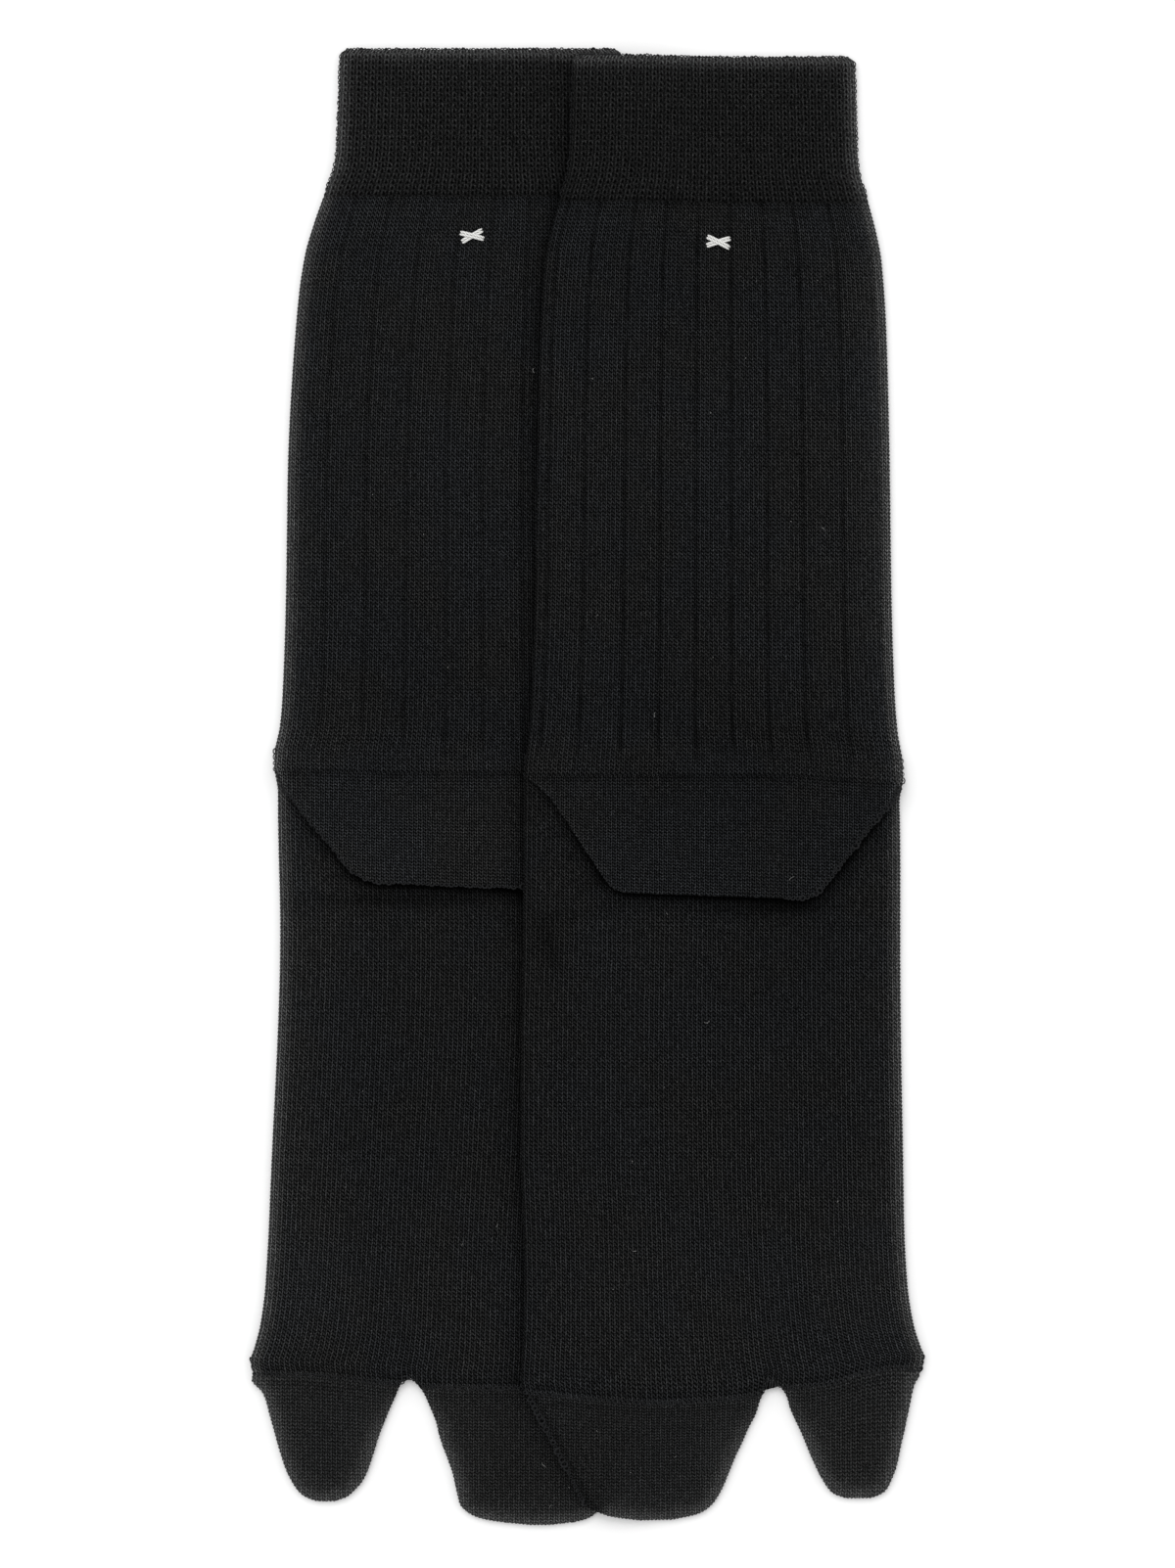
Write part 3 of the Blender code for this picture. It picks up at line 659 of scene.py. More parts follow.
def buildBag(name, zone):
    # heel pocket, big toe or toes: a flat bag, open along its upper edge
    shell, course, pitch = Shell(name, zone), knit[zone]["course"], knit[zone]["pitch"]
    top, tip = zoneSpan(name, zone)
    outline = bagOutline(name, zone, bags["ring"])
    left, right = outline[0][0], outline[-1][0]
    lowX, highX = outline[:, 0].min(), outline[:, 0].max()
    middleX, spanX, spanY = (left + right) / 2, highX - lowX, top - tip
    guardTop = top + bags["guardRise"]
    guard = np.concatenate([[[left, guardTop]], bagOutline(name, zone, bags["guard"]),
                            [[right, guardTop]]])

    def stitchAt(x, y):
        return (x - middleX) / pitch + bags["middleWale"], (top - y) / course

    def gridInside(stepX, stepY, clear, shifted=False):
        columns = np.arange(math.ceil((lowX - middleX) / stepX),
                            math.floor((highX - middleX) / stepX) + 1)
        across, along = np.meshgrid(columns, np.arange(0, spanY / stepY + 1))
        drop = np.zeros_like(across, float)
        if shifted:     # a hair less on the third column, so faces split along the strands
            drop = np.where(across % 3 == 1, 0.5, np.where(across % 3 == 2, 0.47, 0.0))
        x, y = middleX + across.ravel() * stepX, top - (along + drop).ravel() * stepY
        edges = edgesAt(name, zone, y)
        keep = ((distanceTo(guard, x, y) > clear) & (y > tip) & (y < top - 0.12)
                & (x > edges[0]) & (x < edges[1]))
        return np.column_stack([x, y])[keep]

    def inset(distance):
        # a row of points that follows the outline inside it
        step = np.gradient(outline, axis=0)
        normal = np.column_stack([-step[:, 1], step[:, 0]])
        normal /= np.linalg.norm(normal, axis=1)[:, None]
        line = outline + normal * distance
        clear = distanceTo(guard, line[:, 0], line[:, 1]) > distance * 0.6
        return line[clear & (line[:, 1] < top - bags["topClear"])]

    def sheet(topRow, inner, ring=None):
        # the upper face, or the lower one on the upper one's ring; gives its ring and open edge
        upper, count = ring is None, len(outline)
        places, source, faces = bagSheet(outline, np.concatenate(inner), topRow)
        x, y = places[:, 0], places[:, 1]
        inside, wale = distanceTo(guard, x, y), (x - middleX) / pitch
        z = faceHeights(name, zone, x, y, inside, wale, upper)
        onRing = (source >= 0) & (source < count)
        own, detail = ~onRing, ()
        if upper:
            own = slice(None)
            z[onRing] = heightsAt(name, zone, y[onRing])[0]
            edge = (source >= 0) & (source < count + len(topRow))
            detail = (np.where(edge, 0.0, 1.0) * ease(inside / bags["soft"]),
                      np.where(onRing & (source % 2 == 1), 1.0, 0.0),
                      paintedToneAt(name, zone, x, y, inside, wale))
        index = np.empty(len(x), dtype=np.int64)
        index[own] = shell.add(x[own], y[own], z[own], *stitchAt(x[own], y[own]), *detail)
        if not upper:
            index[onRing] = ring[source[onRing]]
        shell.cover(index[faces] if upper else index[faces][:, ::-1], "face" if upper else "back",
                    (index, (x - lowX) / spanX, (y - tip) / spanY))
        bySource = dict(zip(source.tolist(), index.tolist()))
        if upper:
            ring = np.array([bySource[i] for i in range(count)])
        openEdge = [bySource[count + i] for i in reversed(range(len(topRow)))]
        return ring, np.array([ring[0], *openEdge, ring[-1]])

    # upper face with its points on the stitches, and a coarser lower face on the same ring
    third, clear = pitch / 3, bags["topClear"]
    columns = np.arange(math.ceil((left + clear - middleX) / third),
                        math.floor((right - clear - middleX) / third) + 1)
    topRow = np.column_stack([middleX + columns * pitch / 3, np.full(len(columns), top)])
    inner = [*map(inset, bags["rows"]), gridInside(third, course / 2, bags["clear"], True)]
    ring, edge = sheet(topRow, inner)
    topX = np.linspace(left, right, bags["backTop"])[1:-1]
    near, far = map(inset, bags["backRows"])
    inner = [near, far[::3], gridInside(bags["backGrid"], bags["backGrid"], bags["backClear"])]
    backEdge = sheet(np.column_stack([topX, np.full(len(topX), top)]), inner, ring)[1]

    # lining, a smaller bag inside
    wall = cloth["wall"]
    share, row = liningGrid()
    reach = spanY - wall - lining["bagEnd"]
    y = top - row * reach
    edges, shrink = edgesAt(name, zone, y), lining["bagInset"] * wall
    x = edges[0] + shrink + share * (edges[1] - edges[0] - 2 * shrink)
    middle, half = heightsAt(name, zone, y)
    gap = (half - wall) * np.minimum(dome(np.minimum(share, 1 - share) * 60, lining["rounding"]),
                                     dome(y - top + reach, lining["rounding"]))
    upper, lower = shell.line((x, y, middle, *stitchAt(x, y)), gap, share, (y - tip) / spanY, True)
    shell.strip(2, False, edge, upper[0])
    shell.strip(3, True, backEdge, lower[0])
    return shell


def newObject(title, data):
    made = bpy.data.objects.new(title, data)
    bpy.context.scene.collection.objects.link(made)
    return made


def meshFrom(shell, title):
    points = lie(shell.name, shell.zone, np.concatenate(shell.points)) * mm
    faces = np.concatenate(shell.faces).astype(np.int32)
    mesh = bpy.data.meshes.new(title)
    mesh.vertices.add(len(points))
    mesh.vertices.foreach_set("co", points.ravel())
    mesh.loops.add(faces.size)
    mesh.loops.foreach_set("vertex_index", faces.ravel())
    mesh.polygons.add(len(faces))
    mesh.polygons.foreach_set("loop_start", np.arange(0, faces.size, 3, dtype=np.int32))
    mesh.update(calc_edges=True)
    mesh.polygons.foreach_set("use_smooth", np.ones(len(faces), dtype=bool))
    for label, rows in (("stitch", shell.stitch), ("detail", shell.detail)):
        layer = mesh.attributes.new(label, "FLOAT_VECTOR", "POINT")
        layer.data.foreach_set("vector", np.concatenate(rows).astype(np.float32).ravel())
    bakeMap = mesh.uv_layers.new(name="OFBake")
    bakeMap.data.foreach_set("uv", np.concatenate(shell.bake).astype(np.float32).ravel())
    return newObject(title, mesh)


def finishPiece(piece):
    piece.data.polygons.foreach_set("use_smooth", np.ones(len(piece.data.polygons), dtype=bool))
    piece.data.name = piece.name
    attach(piece, "root")
    print(piece.name, len(piece.data.polygons), "faces")


# Node trees

def join(tree, source, target):
    # target is a socket; source is a socket or a plain value
    if isinstance(source, bpy.types.NodeSocket):
        tree.links.new(source, target)
    else:
        target.default_value = source


def add(tree, kind, inputs=None, **settings):
    # a new node's outputs; its inputs are given by name or number
    node = tree.nodes.new(kind)
    for label, value in settings.items():
        setattr(node, label, value)
    for label, source in (inputs or {}).items():
        join(tree, source, node.inputs[label])
    return node.outputs


def calc(tree, operation, *values):
    return add(tree, "ShaderNodeMath", dict(enumerate(values)), operation=operation)[0]


def scaled(tree, vector, by):
    return add(tree, "ShaderNodeVectorMath", {0: vector, "Scale": by}, operation="SCALE")[0]


def split(tree, vector):
    return add(tree, "ShaderNodeSeparateXYZ", {0: vector})


def nearWhole(tree, value):
    # distance to the nearest whole number
    part = calc(tree, "FRACT", calc(tree, "ADD", value, 0.5))
    return calc(tree, "ABSOLUTE", calc(tree, "SUBTRACT", part, 0.5))


def fade(tree, value, start, end):
    # 1 below start, falling smoothly to 0 at end
    inputs = dict(enumerate((value, start, end, 1.0, 0.0)))
    return add(tree, "ShaderNodeMapRange", inputs, interpolation_type="SMOOTHSTEP")[0]


def newTree(title, **sockets):
    tree = bpy.data.node_groups.new(title, "GeometryNodeTree")
    for label, kind in {"Geometry": "Geometry", **sockets, "Material": "Material"}.items():
        tree.interface.new_socket(label, in_out="INPUT", socket_type="NodeSocket" + kind)
    tree.interface.new_socket("Geometry", in_out="OUTPUT", socket_type="NodeSocketGeometry")
    return tree, add(tree, "NodeGroupInput")


def giveResult(tree, geometry, given):
    real = add(tree, "GeometryNodeRealizeInstances", {0: geometry})[0]
    paint = {"Geometry": real, "Material": given["Material"]}
    add(tree, "NodeGroupOutput", {"Geometry": add(tree, "GeometryNodeSetMaterial", paint)[0]})
    return tree


def runTree(piece, tree, settings):
    # put the tree on the piece, set its inputs, and keep the result as a plain mesh
    modifier = piece.modifiers.new(tree.name, "NODES")
    modifier.node_group = tree
    for item in tree.interface.items_tree:
        if item.item_type == "SOCKET" and item.in_out == "INPUT" and item.name in settings:
            modifier[item.identifier] = settings[item.name]
    piece.update_tag()
    graph = bpy.context.evaluated_depsgraph_get()
    graph.update()
    done = bpy.data.meshes.new_from_object(piece.evaluated_get(graph), depsgraph=graph)
    piece.modifiers.remove(modifier)
    piece.data = done


def knitTree():
    # raises the strands of each stitch, from its wale and course
    tree, given = newTree("knitRelief", strand="Float", bump="Float", chain="Float")
    stitch, detail = (split(tree, add(tree, "GeometryNodeInputNamedAttribute", {"Name": label},
                                      data_type="FLOAT_VECTOR")["Attribute"])
                      for label in ("stitch", "detail"))
    wale, course = stitch["X"], stitch["Y"]
    upright = fade(tree, nearWhole(tree, wale), 0.0, 0.3)
    lean = calc(tree, "SUBTRACT", course, calc(tree, "MULTIPLY", calc(tree, "FRACT", wale), 1.5))
    slant = fade(tree, nearWhole(tree, calc(tree, "ADD", lean, 0.25)), 0.0, 0.5)
    plain = calc(tree, "MAXIMUM", upright, slant)
    bridge = fade(tree, nearWhole(tree, course), 0.1, 0.5)
    chain = calc(tree, "MAXIMUM", bridge, calc(tree, "SUBTRACT", 1.0, upright))
    mix = calc(tree, "MULTIPLY_ADD", calc(tree, "SUBTRACT", chain, plain), given["chain"], plain)
    centred = calc(tree, "MULTIPLY", calc(tree, "SUBTRACT", mix, 0.5), detail["X"])
    lift = calc(tree, "MULTIPLY", centred, given["strand"])
    rise = calc(tree, "ADD", lift, calc(tree, "MULTIPLY", detail["Y"], given["bump"]))
    offset = scaled(tree, add(tree, "GeometryNodeInputNormal")[0], rise)
    moved = {"Geometry": given["Geometry"], "Offset": offset}
    return giveResult(tree, add(tree, "GeometryNodeSetPosition", moved)[0], given)


# Materials

yarn = {"strand": (0.0078, 0.0083, 0.0090), "warm": (0.0084, 0.0085, 0.0085), "roughness": 0.94,
        "bump": 0.0013, "bumpStrength": 0.7, "luckShare": 0.6, "luckLeast": 0.7, "patchShare": 0.08,
        "darkest": 0.12, "contrast": 2.4, "foldFill": 0.1, "patchFade": (0.62, 0.38),
        "foldFade": (0.2, 1.2),
        "gloss": {"Specular IOR Level": 0.004, "Sheen Weight": 0.006, "Sheen Roughness": 0.5}}
# How large the yarn's irregularities are, as scales of noise to a metre
grain = {"wander": 430.0, "drift": 270.0, "fibre": 4600.0, "blot": 1300.0, "patches": 45.0,
         "looseFibre": 5200.0, "threadFibre": 6000.0}


def newMaterial(title):
    material = bpy.data.materials.new(title)
    material.use_nodes = True
    return material, material.node_tree


def coat(tree, values, bump=None):
    # what goes into the shader, with the inputs of a bump where there is one
    if bump:
        values = {**values, "Normal": add(tree, "ShaderNodeBump", bump)[0]}
    for label, value in values.items():
        join(tree, value, tree.nodes["Principled BSDF"].inputs[label])


def noiseAt(tree, vector, scale, detail=2.0, rough=0.5):
    return add(tree, "ShaderNodeTexNoise", {"Vector": vector, "Scale": scale, "Detail": detail,
                                            "Roughness": rough})[0]


def dice(tree, *places):
    # one random number for each stitch, from its whole wale and course
    whole = dict(enumerate(calc(tree, "FLOOR", value) for value in places))
    pair = add(tree, "ShaderNodeCombineXYZ", whole)[0]
    return add(tree, "ShaderNodeTexWhiteNoise", {"Vector": pair}, noise_dimensions="2D")["Value"]


def mixColour(tree, share, low, high):
    return add(tree, "ShaderNodeMix", {0: share, 6: (*low, 1.0), 7: (*high, 1.0)},
               data_type="RGBA")[2]


def splitAttribute(tree, label):
    return split(tree, add(tree, "ShaderNodeAttribute", attribute_name=label)["Vector"])


# Waves of painted light and shade that make up the look of a stitch, paler strands and darker
# holes, to a wale and to a course: two strands, rows, the slant, the counter slant, wales, the
# lean and the rise
waveSteps = ((2, 0), (0, 1), (1, -1), (1, 1), (1, 0), (2, -1), (2, 1))


def makeKnit(title, look):
    material, tree = newMaterial(title)
    place = add(tree, "ShaderNodeTexCoord")["Object"]
    stitch, detail = splitAttribute(tree, "stitch"), splitAttribute(tree, "detail")

    def sway(scale):
        centred = calc(tree, "SUBTRACT", noiseAt(tree, place, scale, 1.0), 0.5)
        return calc(tree, "MULTIPLY", centred, look["wander"])

    # the yarn wanders, and each stitch is its own shade
    wale = calc(tree, "MULTIPLY_ADD", stitch["X"], look["wales"], sway(grain["wander"]))
    course = calc(tree, "ADD", stitch["Y"], sway(grain["drift"]))
    luck = dice(tree, calc(tree, "MULTIPLY_ADD", wale, 2.0, 0.5), course)
    waves = 0.0
    for (across, along), (strength, turn) in zip(waveSteps, look["waves"]):
        angle = calc(tree, "MULTIPLY_ADD", course, 2 * math.pi * along, math.radians(turn))
        angle = calc(tree, "MULTIPLY_ADD", wale, 2 * math.pi * across, angle)
        waves = calc(tree, "MULTIPLY_ADD", calc(tree, "COSINE", angle), strength, waves)
    share = calc(tree, "MULTIPLY_ADD", luck, yarn["luckShare"], yarn["luckLeast"])
    waves = calc(tree, "MULTIPLY", waves, share)

    fibre = noiseAt(tree, place, grain["fibre"], 2.0, 0.7)
    blot = noiseAt(tree, place, grain["blot"], 1.0, 0.6)
    patches = noiseAt(tree, place, grain["patches"], 4.0, 0.6)
    # the level is the waves' painted light and shade of strands and holes, with the yarn's own
    # unevenness
    level = calc(tree, "ADD", waves, 1.0)
    for noise, share in ((luck, look["uneven"]), (fibre, look["fuzz"]), (blot, look["blot"]),
                         (patches, yarn["patchShare"])):
        level = calc(tree, "MULTIPLY_ADD", calc(tree, "SUBTRACT", noise, 0.5), share, level)
    bright = calc(tree, "MAXIMUM", level, yarn["darkest"])
    bright = calc(tree, "POWER", bright, yarn["contrast"])
    # where painted highlights lie at the folds, the holes are painted paler too
    fold = calc(tree, "MAXIMUM", detail["Z"], 0.0)
    bright = calc(tree, "MULTIPLY_ADD", fold, yarn["foldFill"], bright)
    # painted light and shade from the tone attribute, times the look's gain
    paler = calc(tree, "MULTIPLY", calc(tree, "ADD", detail["Z"], 1.0), look["gain"])
    cool = calc(tree, "MULTIPLY", fade(tree, patches, *yarn["patchFade"]), look["cool"])
    cool = calc(tree, "MULTIPLY", cool, fade(tree, detail["Z"], *yarn["foldFade"]))
    tone = mixColour(tree, cool, yarn["warm"], yarn["strand"])
    coat(tree, {"Base Color": scaled(tree, tone, calc(tree, "MULTIPLY", bright, paler)),
                "Roughness": calc(tree, "MULTIPLY_ADD", fibre, -0.12, yarn["roughness"]),
                **yarn["gloss"]},
         {"Strength": yarn["bumpStrength"], "Distance": yarn["bump"], "Height": waves})
    return material


# Each wave's strength and where in the stitch it starts, in degrees, in the order of waveSteps
looks = {
    "leg": {"gain": 1.23, "wales": 1.0, "wander": 0.33, "uneven": 0.18, "fuzz": 4.2,
            "blot": 0.15, "cool": 1.0,
            "waves": ((0.43, 0), (0.16, 0), (0.41, 163), (0.2, 2), (0.14, 17), (0.15, -18),
                      (0.12, 0))},
    "foot": {"gain": 1.14, "wales": 1.0, "wander": 0.33, "uneven": 0.18, "fuzz": 4.2,
             "blot": 0.15, "cool": 0.8,
             "waves": ((0.43, 0), (0.14, 0), (0.38, 160), (0.16, 0), (0.18, -3), (0.19, -16),
                       (0.12, -5))},
    "heel": {"gain": 1.26, "wales": 1.0, "wander": 0.28, "uneven": 0.16, "fuzz": 4.0,
             "blot": 0.12, "cool": 1.0,
             "waves": ((0.6, 0), (0.26, 0), (0.44, 160), (0.28, 0), (0.12, 22), (0.08, -12),
                       (0.07, 10))},
    "toe": {"gain": 1.22, "wales": 1.0, "wander": 0.3, "uneven": 0.16, "fuzz": 3.8,
            "blot": 0.12, "cool": 0.3,
            "waves": ((0.32, 0), (0.2, 0), (0.21, 175), (0.15, 5), (0.1, 18), (0.13, -9),
                      (0.09, 0))},
    "welt": {"gain": 0.95, "wales": 0.5, "wander": 0.28, "uneven": 0.16, "fuzz": 4.6,
             "blot": 0.15, "cool": 0.1,
             "waves": ((0.4, 0), (0.11, 0), (0.17, -118), (0.13, -86), (0.085, 35), (0.17, 106),
                       (0.09, -102))},
}
materials = {key: makeKnit(f"black{key.title()}Knit", look) for key, look in looks.items()}

# Each zone's node, look, relief and flat cut in metres, width by length of its whole round, with
# the share of the cut that a bag fills and the trims that lie on it
zones = {
    "cuff": {"node": "cuff", "look": "welt", "strand": 0.00020, "bump": 0.00022, "chain": 1.0,
             "cut": (0.1430, 0.0362), "trims": ["weltLoops"]},
    "leg": {"node": "leg", "look": "leg", "strand": 0.00017, "bump": 0.00020, "chain": 0.0,
            "cut": (0.1750, 0.1432), "trims": ["sideLoops", "tack", "lint"]},
    "foot": {"node": "foot", "look": "foot", "strand": 0.00017, "bump": 0.00020, "chain": 0.0,
             "cut": (0.1890, 0.1533), "trims": []},
    "heel": {"node": "heel", "look": "heel", "strand": 0.00014, "bump": 0.00018, "chain": 0.0,
             "cut": (0.0934, 0.0560), "share": 0.80, "trims": ["raisedEdge"]},
    "bigToe": {"node": "big_toe", "look": "toe", "strand": 0.00014, "bump": 0.00022,
               "chain": 0.0, "cut": (0.0718, 0.0280), "share": 0.73, "trims": []},
    "toes": {"node": "toes", "look": "toe", "strand": 0.00014, "bump": 0.00022, "chain": 0.0,
             "cut": (0.1148, 0.0325), "share": 0.74, "trims": ["seamChain", "linkedEdge"]},
}

knitRelief = knitTree()
pieces = {}
for name in socks:
    for zone, spec in zones.items():
        shell = buildTube(name, zone) if zone in tubes else buildBag(name, zone)
        node = f"{name}_{spec['node']}"
        piece = meshFrom(shell, node + "_knit")
        runTree(piece, knitRelief, dict(spec, Material=materials[spec["look"]]))
        finishPiece(piece)
        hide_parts(node)
        pieces[name, zone] = piece


# Sewing and edges that repeat along a line

def loopTree():
    # small rings of yarn set along a line
    tree, given = newTree("loopsAlongEdge", pitch="Float", length="Float", width="Float",
                          thick="Float", uneven="Float", seed="Int")
    line = add(tree, "GeometryNodeMeshToCurve", {"Mesh": given["Geometry"]})[0]
    spaced = add(tree, "GeometryNodeResampleCurve", {"Curve": line, "Length": given["pitch"]},
                 mode="LENGTH")[0]
    ring = add(tree, "GeometryNodeCurvePrimitiveCircle", {"Resolution": 7, "Radius": 0.5})[0]
    size = add(tree, "ShaderNodeCombineXYZ", {0: given["length"], 1: given["width"], 2: 1.0})[0]
    oval = add(tree, "GeometryNodeTransform", {"Geometry": ring, "Scale": size})[0]
    section = add(tree, "GeometryNodeCurvePrimitiveCircle",
                  {"Resolution": 4, "Radius": calc(tree, "MULTIPLY", given["thick"], 0.5)})[0]
    yarnRing = add(tree, "GeometryNodeCurveToMesh", {"Curve": oval, "Profile Curve": section})[0]

    tangent = add(tree, "GeometryNodeInputTangent")[0]
    aim = add(tree, "FunctionNodeAlignRotationToVector", {"Vector": tangent}, axis="X")[0]
    sway = {0: (-0.5, -0.35, -0.35), 1: (0.5, 0.35, 0.35), "Seed": given["seed"]}
    shake = add(tree, "FunctionNodeRandomValue", sway, data_type="FLOAT_VECTOR")[0]
    turn = add(tree, "FunctionNodeRotateRotation", {0: aim, 1: shake}, rotation_space="LOCAL")[0]
    least, most = (calc(tree, operation, 1.0, given["uneven"])
                   for operation in ("SUBTRACT", "ADD"))
    sizes = {2: least, 3: most, "Seed": calc(tree, "ADD", given["seed"], 7.0)}
    grow = add(tree, "FunctionNodeRandomValue", sizes, data_type="FLOAT")[1]
    rings = add(tree, "GeometryNodeInstanceOnPoints", {"Points": spaced, "Instance": yarnRing,
                                                       "Rotation": turn, "Scale": grow})[0]
    return giveResult(tree, rings, given)


def onFace(name, zone, x, y, lift=0.0, upper=True):
    # points on a piece's upper or lower face, in millimetres
    x, y = np.broadcast_arrays(np.asarray(x, float), np.asarray(y, float))
    left, right = edgesAt(name, zone, y)
    inside = np.maximum(np.minimum(x - left, right - x), 0.0)
    wale = (x - left) / (right - left) * knit[zone].get("wales", 80)
    z = faceHeights(name, zone, x, y, inside, wale, upper)
    return lie(name, zone, np.stack([x, y, z + lift], axis=1))


def foldLine(name, zone, side, start, end, out):
    # a line down one fold of a tube
    y = np.linspace(start, end, max(3, int(abs(end - start) / 0.8)))
    x = edgesAt(name, zone, y)[side] + (out if side else -out)
    return lie(name, zone, np.stack([x, y, heightsAt(name, zone, y)[0]], axis=1))


def rowAcross(name, zone, y, clear, count):
    left, right = edgesAt(name, zone, np.array([y]))
    return np.linspace(left[0] + clear, right[0] - clear, count)


def linesObject(title, paths):
    # a mesh of bare lines for a tree to work on
    points, edges = [], []
    for path in paths:
        first = len(points)
        points.extend(tuple(p * mm) for p in path)
        edges.extend((i, i + 1) for i in range(first, len(points) - 1))
    mesh = bpy.data.meshes.new(title)
    mesh.from_pydata(points, edges, [])
    return newObject(title, mesh)


def makeYarn(title):
    # the same black yarn where it stands free of the fabric
    material, tree = newMaterial(title)
    fibre = noiseAt(tree, add(tree, "ShaderNodeTexCoord")["Object"], grain["looseFibre"], 2.0, 0.6)
    tone = mixColour(tree, fibre, (0.005, 0.0052, 0.0056), (0.032, 0.033, 0.0345))
    coat(tree, {"Base Color": tone, "Roughness": calc(tree, "MULTIPLY_ADD", fibre, -0.1, 0.9),
                **yarn["gloss"]}, {"Distance": 0.00006, "Height": fibre})
    return material


loopsAlongEdge = loopTree()
blackYarn = makeYarn("blackYarn")
# Loops of yarn along each edge, with sizes in metres
loopSizes = ("pitch", "length", "width", "thick", "uneven")
edging = {"weltLoops": (0.00087, 0.00085, 0.0011, 0.00030, 0.22),
          "sideLoops": (0.00128, 0.00125, 0.0010, 0.00028, 0.25),
          "seamChain": (0.00118, 0.00125, 0.0010, 0.00026, 0.22),
          "linkedEdge": (0.00118, 0.00120, 0.0009, 0.00030, 0.24),
          "raisedEdge": (0.00118, 0.00108, 0.0013, 0.00042, 0.36)}

# How proud a bag's edge stands: the upper sock's right heel slope and left toe side most
edge = {"spacing": 0.8, "inward": 0.5, "outward": 0.4, "lift": 0.7, "raised": 0.5, "ends": 2,
        "heel": 0.5, "slopeFrom": 14, "slopeOver": 8, "toes": 1.2, "tip": -179, "tipOver": 3,
        "leftShare": 0.45}

for seed, name in enumerate(socks, 11):
    top, ankle, seam = (socks[name][mark] for mark in ("cuffTop", "ankle", "toeSeam"))
    across = rowAcross(name, "cuff", top - 0.4, 1.2, 90)
    folds = (("cuff", top - 1.5, socks[name]["cuffLine"] + 2, -0.12),
             ("leg", ankle + 5, ankle + 0.4, -0.05), ("foot", seam + 4, seam + 0.3, -0.25))
    paths = {
        "weltLoops": [onFace(name, "cuff", across, top - 0.05, -0.55),
                      onFace(name, "cuff", across, top - 0.05, 0.55, False)],
        "sideLoops": [foldLine(name, zone, side, start, end, out)
                      for zone, start, end, out in folds for side in (0, 1)],
        "seamChain": [onFace(name, "foot", rowAcross(name, "foot", seam, 0.5, 120), seam + 0.25,
                             0.02)],
        "linkedEdge": [], "raisedEdge": [],
    }
    for zone in ("heel", "bigToe", "toes"):
        ring = bagOutline(name, zone, edge["spacing"])
        inward = np.gradient(ring, axis=0)[:, ::-1] * (-1, 1)
        inward /= np.linalg.norm(inward, axis=1)[:, None]
        x, y, ends = ring[:, 0], ring[:, 1], edge["ends"]
        proud = np.full(len(ring), edge["heel"] if zone == "heel" else 0.0)
        if (name, zone) == ("over", "heel"):
            proud = ease((x - x.mean() - edge["slopeFrom"]) / edge["slopeOver"])
        elif (name, zone) == ("over", "toes"):
            proud = edge["toes"] * ease((y - edge["tip"]) / edge["tipOver"])
            proud = proud * (np.arange(len(ring)) < edge["leftShare"] * len(ring))
        high = heightsAt(name, zone, y)[0] + edge["lift"] * proud
        ring = ring + inward * (edge["inward"] - edge["outward"] * proud)[:, None]
        line = lie(name, zone, np.column_stack([ring, high]))[ends:-ends]
        proud = proud[ends:-ends] >= edge["raised"]
        turns = np.flatnonzero(np.diff(proud)) + 1
        for part, stands in zip(np.split(line, turns), np.split(proud, turns)):
            if stands[0]:
                paths["raisedEdge"].append(part)
            elif (name, zone) != ("over", "toes"):
                paths["linkedEdge"].append(part)
    for label, sizes in edging.items():
        piece = linesObject(f"{name}_{label}", paths[label])
        settings = dict(zip(loopSizes, sizes), seed=seed, Material=blackYarn)
        runTree(piece, loopsAlongEdge, settings)
        finishPiece(piece)


def threadTube(points, radius, sides=10):
    # a closed tube along points, with how far round and along it each corner is
    points = np.asarray(points)
    ahead = np.gradient(points, axis=0)
    ahead /= np.linalg.norm(ahead, axis=1)[:, None]
    side = np.cross(ahead, (0, 0, 1.0))
    side /= np.linalg.norm(side, axis=1)[:, None]
    above = np.cross(side, ahead)
    lengths = np.concatenate([[0], np.cumsum(np.linalg.norm(np.diff(points, axis=0), axis=1))])
    verts, twist = [], []
    for i, point in enumerate(points):
        taper = radius * (0.55 if i in (0, len(points) - 1) else 1.0)
        for a in np.arange(sides) * 2 * math.pi / sides:
            ply = 1 + 0.1 * math.cos(3 * (a + lengths[i] * 2.4))
            verts.append(point + taper * ply * (math.cos(a) * side[i] + math.sin(a) * above[i]))
            twist.append((a / (2 * math.pi), lengths[i], 0.0))
    faces = []
    for a in range(0, len(verts) - sides, sides):
        for j in range(sides):
            k = (j + 1) % sides
            faces.append((a + j, a + j + sides, a + k + sides, a + k))
    faces.append(tuple(range(sides)))
    faces.append(tuple(reversed(range(len(verts) - sides, len(verts)))))
    return verts, faces, twist


def makeThread(title):
    material, tree = newMaterial(title)
    twist = splitAttribute(tree, "twist")
    plies = calc(tree, "ADD", calc(tree, "MULTIPLY", twist["X"], 3.0),
                 calc(tree, "MULTIPLY", twist["Y"], 1.15))
    groove = fade(tree, nearWhole(tree, plies), 0.05, 0.4)
    place = add(tree, "ShaderNodeTexCoord")["Object"]
    fibre = noiseAt(tree, place, grain["threadFibre"], 2.0, 0.6)
    height = calc(tree, "MULTIPLY_ADD", fibre, 0.3, calc(tree, "SUBTRACT", 1.0, groove))
    # the grooves between the plies are painted darker, as painted shade, and sunk by the bump
    coat(tree, {"Base Color": mixColour(tree, groove, (0.84, 0.84, 0.82), (0.52, 0.52, 0.5)),
                "Roughness": calc(tree, "MULTIPLY_ADD", fibre, -0.15, 0.75),
                "Specular IOR Level": 0.3}, {"Distance": 0.00008, "Height": height})
    return material


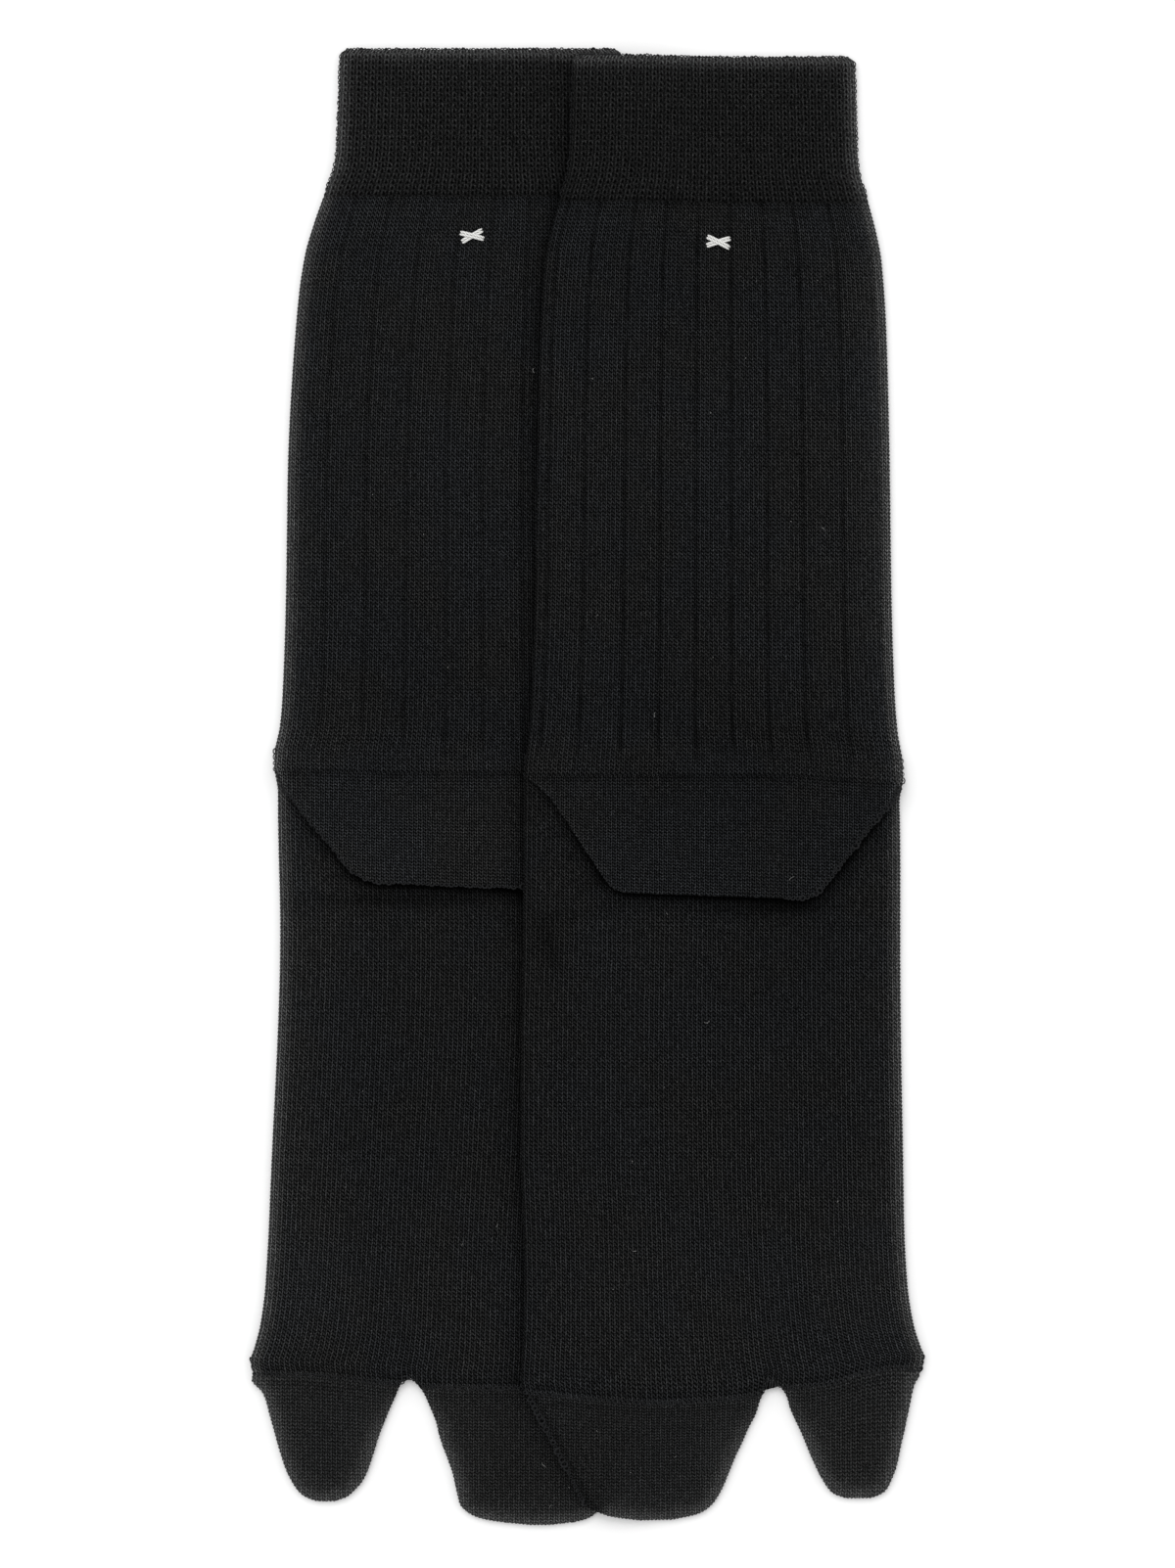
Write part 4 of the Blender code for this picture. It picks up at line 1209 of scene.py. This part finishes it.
whiteThread = makeThread("whiteThread")


def threadPiece(title, threads):
    verts, faces, twist = [], [], []
    for points, sides, turns in threads:
        faces.extend(tuple(i + len(verts) for i in face) for face in sides)
        verts.extend(tuple(v * mm) for v in points)
        twist.extend(turns)
    mesh = bpy.data.meshes.new(title)
    mesh.from_pydata(verts, [], faces)
    mesh.attributes.new("twist", "FLOAT_VECTOR", "POINT").data.foreach_set(
        "vector", np.array(twist, dtype=np.float32).ravel())
    mesh.materials.append(whiteThread)
    finishPiece(newObject(title, mesh))


# White basting thread, a small crossed tack below each cuff
tack = {"length": 6.4, "spread": 2.6, "thread": 0.62, "apart": 0.32, "over": 0.28, "rise": 0.75,
        "dip": 0.5, "places": {"under": (-28.8, 136.9, 8.0), "over": (32.2, 135.3, -5.0)}}
for name, (x, y, slope) in tack["places"].items():
    threads = []
    for turn, side in ((1, -1), (1, 1), (-1, -1), (-1, 1)):
        t, offset = np.linspace(-1, 1, 15), tack["apart"] * side
        lean = math.atan2(tack["spread"] / 2, tack["length"] / 2) * turn + math.radians(slope)
        px = x + t * tack["length"] / 2 * math.cos(lean) - offset * math.sin(lean)
        py = y + t * tack["length"] / 2 * math.sin(lean) + offset * math.cos(lean)
        line = onFace(name, "leg", px, py)
        rise = tack["rise"] + (tack["over"] if turn < 0 else 0.0)
        line[:, 2] = line[:, 2].max() + rise * (1 - t ** 4) - tack["dip"]
        threads.append(threadTube(line, tack["thread"] / 2))
    threadPiece(name + "_tack", threads)

# A few pale hairs of lint on each sock
lint = {"count": 26, "thick": 0.09, "longest": 1.6, "shortest": 0.2, "lift": 0.12,
        "zones": ["leg", "leg", "leg", "foot", "foot", "foot", "heel", "toes"]}
for seed, name in enumerate(socks, 3):
    chance, threads = np.random.default_rng(seed), []
    for hair in range(lint["count"]):
        zone = chance.choice(lint["zones"])
        high, low = zoneSpan(name, zone)
        y = low + (0.1 + 0.8 * chance.random()) * (high - low)
        left, right = edgesAt(name, zone, np.array([y]))
        x = left[0] + (0.12 + 0.76 * chance.random()) * (right[0] - left[0])
        turn = chance.random() * math.pi
        length = lint["longest"] * chance.random() ** 3 + lint["shortest"]
        t, curl = np.linspace(-0.5, 0.5, 5), chance.random() * 3 - 1.5
        px = x + length * (t * math.cos(turn) - curl * (t * t - 0.1) * math.sin(turn))
        py = y + length * (t * math.sin(turn) + curl * (t * t - 0.1) * math.cos(turn))
        line = onFace(name, zone, px, py, lint["lift"])
        line[:, 2] = line[:, 2].max()
        threads.append(threadTube(line, lint["thick"] / 2, 3))
    threadPiece(name + "_lint", threads)

# Each piece's cut, width by length, is read here and not used
for (name, zone), piece in pieces.items():
    width, length = zones[zone]["cut"]

# Floor, light and camera; a softbox is its place, its size and its power
studio = {"paper": {"Base Color": (0.95, 0.95, 0.95, 1.0), "Roughness": 0.9,
                    "Specular IOR Level": 0.1},
          "floorHalf": 4.0, "floorDrop": 0.0002, "world": 0.78, "lens": 100.0, "sensor": 36.0,
          "clip": 0.05, "camera": (-0.00017, 0.00085, 1.0839)}
softboxes = {"overheadSoftbox": ((-0.25, 0.7, 1.5), (1.2, 1.2), 11.0),
             "leftSoftbox": ((-1.3, 0.1, 0.7), (0.9, 1.4), 2.8),
             "rightSoftbox": ((1.3, 0.0, 0.7), (0.9, 1.4), 2.8)}

floorMesh = bpy.data.meshes.new("studioFloor")
half = studio["floorHalf"]
floorMesh.from_pydata([(-half, -half, 0), (half, -half, 0), (half, half, 0), (-half, half, 0)],
                      [], [(0, 1, 2, 3)])
paper, paperTree = newMaterial("palePaper")
coat(paperTree, studio["paper"])
floorMesh.materials.append(paper)
floor = newObject("studioFloor", floorMesh)
floor.location.z = -studio["floorDrop"]

world = bpy.data.worlds.new("softWorld")
world.use_nodes = True
background = world.node_tree.nodes["Background"].inputs
background["Color"].default_value = (1.0, 1.0, 1.0, 1.0)
background["Strength"].default_value = studio["world"]
bpy.context.scene.world = world

for title, (place, size, power) in softboxes.items():
    light = bpy.data.lights.new(title, "AREA")
    light.shape = "RECTANGLE"
    light.size, light.size_y = size
    light.energy = power
    holder = newObject(title, light)
    holder.location = place
    holder.rotation_euler = (Vector() - Vector(place)).to_track_quat("-Z", "Y").to_euler()

lens = bpy.data.cameras.new("topCamera")
lens.lens, lens.sensor_width, lens.clip_start = studio["lens"], studio["sensor"], studio["clip"]
camera = newObject("topCamera", lens)
camera.location = studio["camera"]
bpy.context.scene.camera = camera
bpy.context.scene.view_settings.view_transform = "Standard"
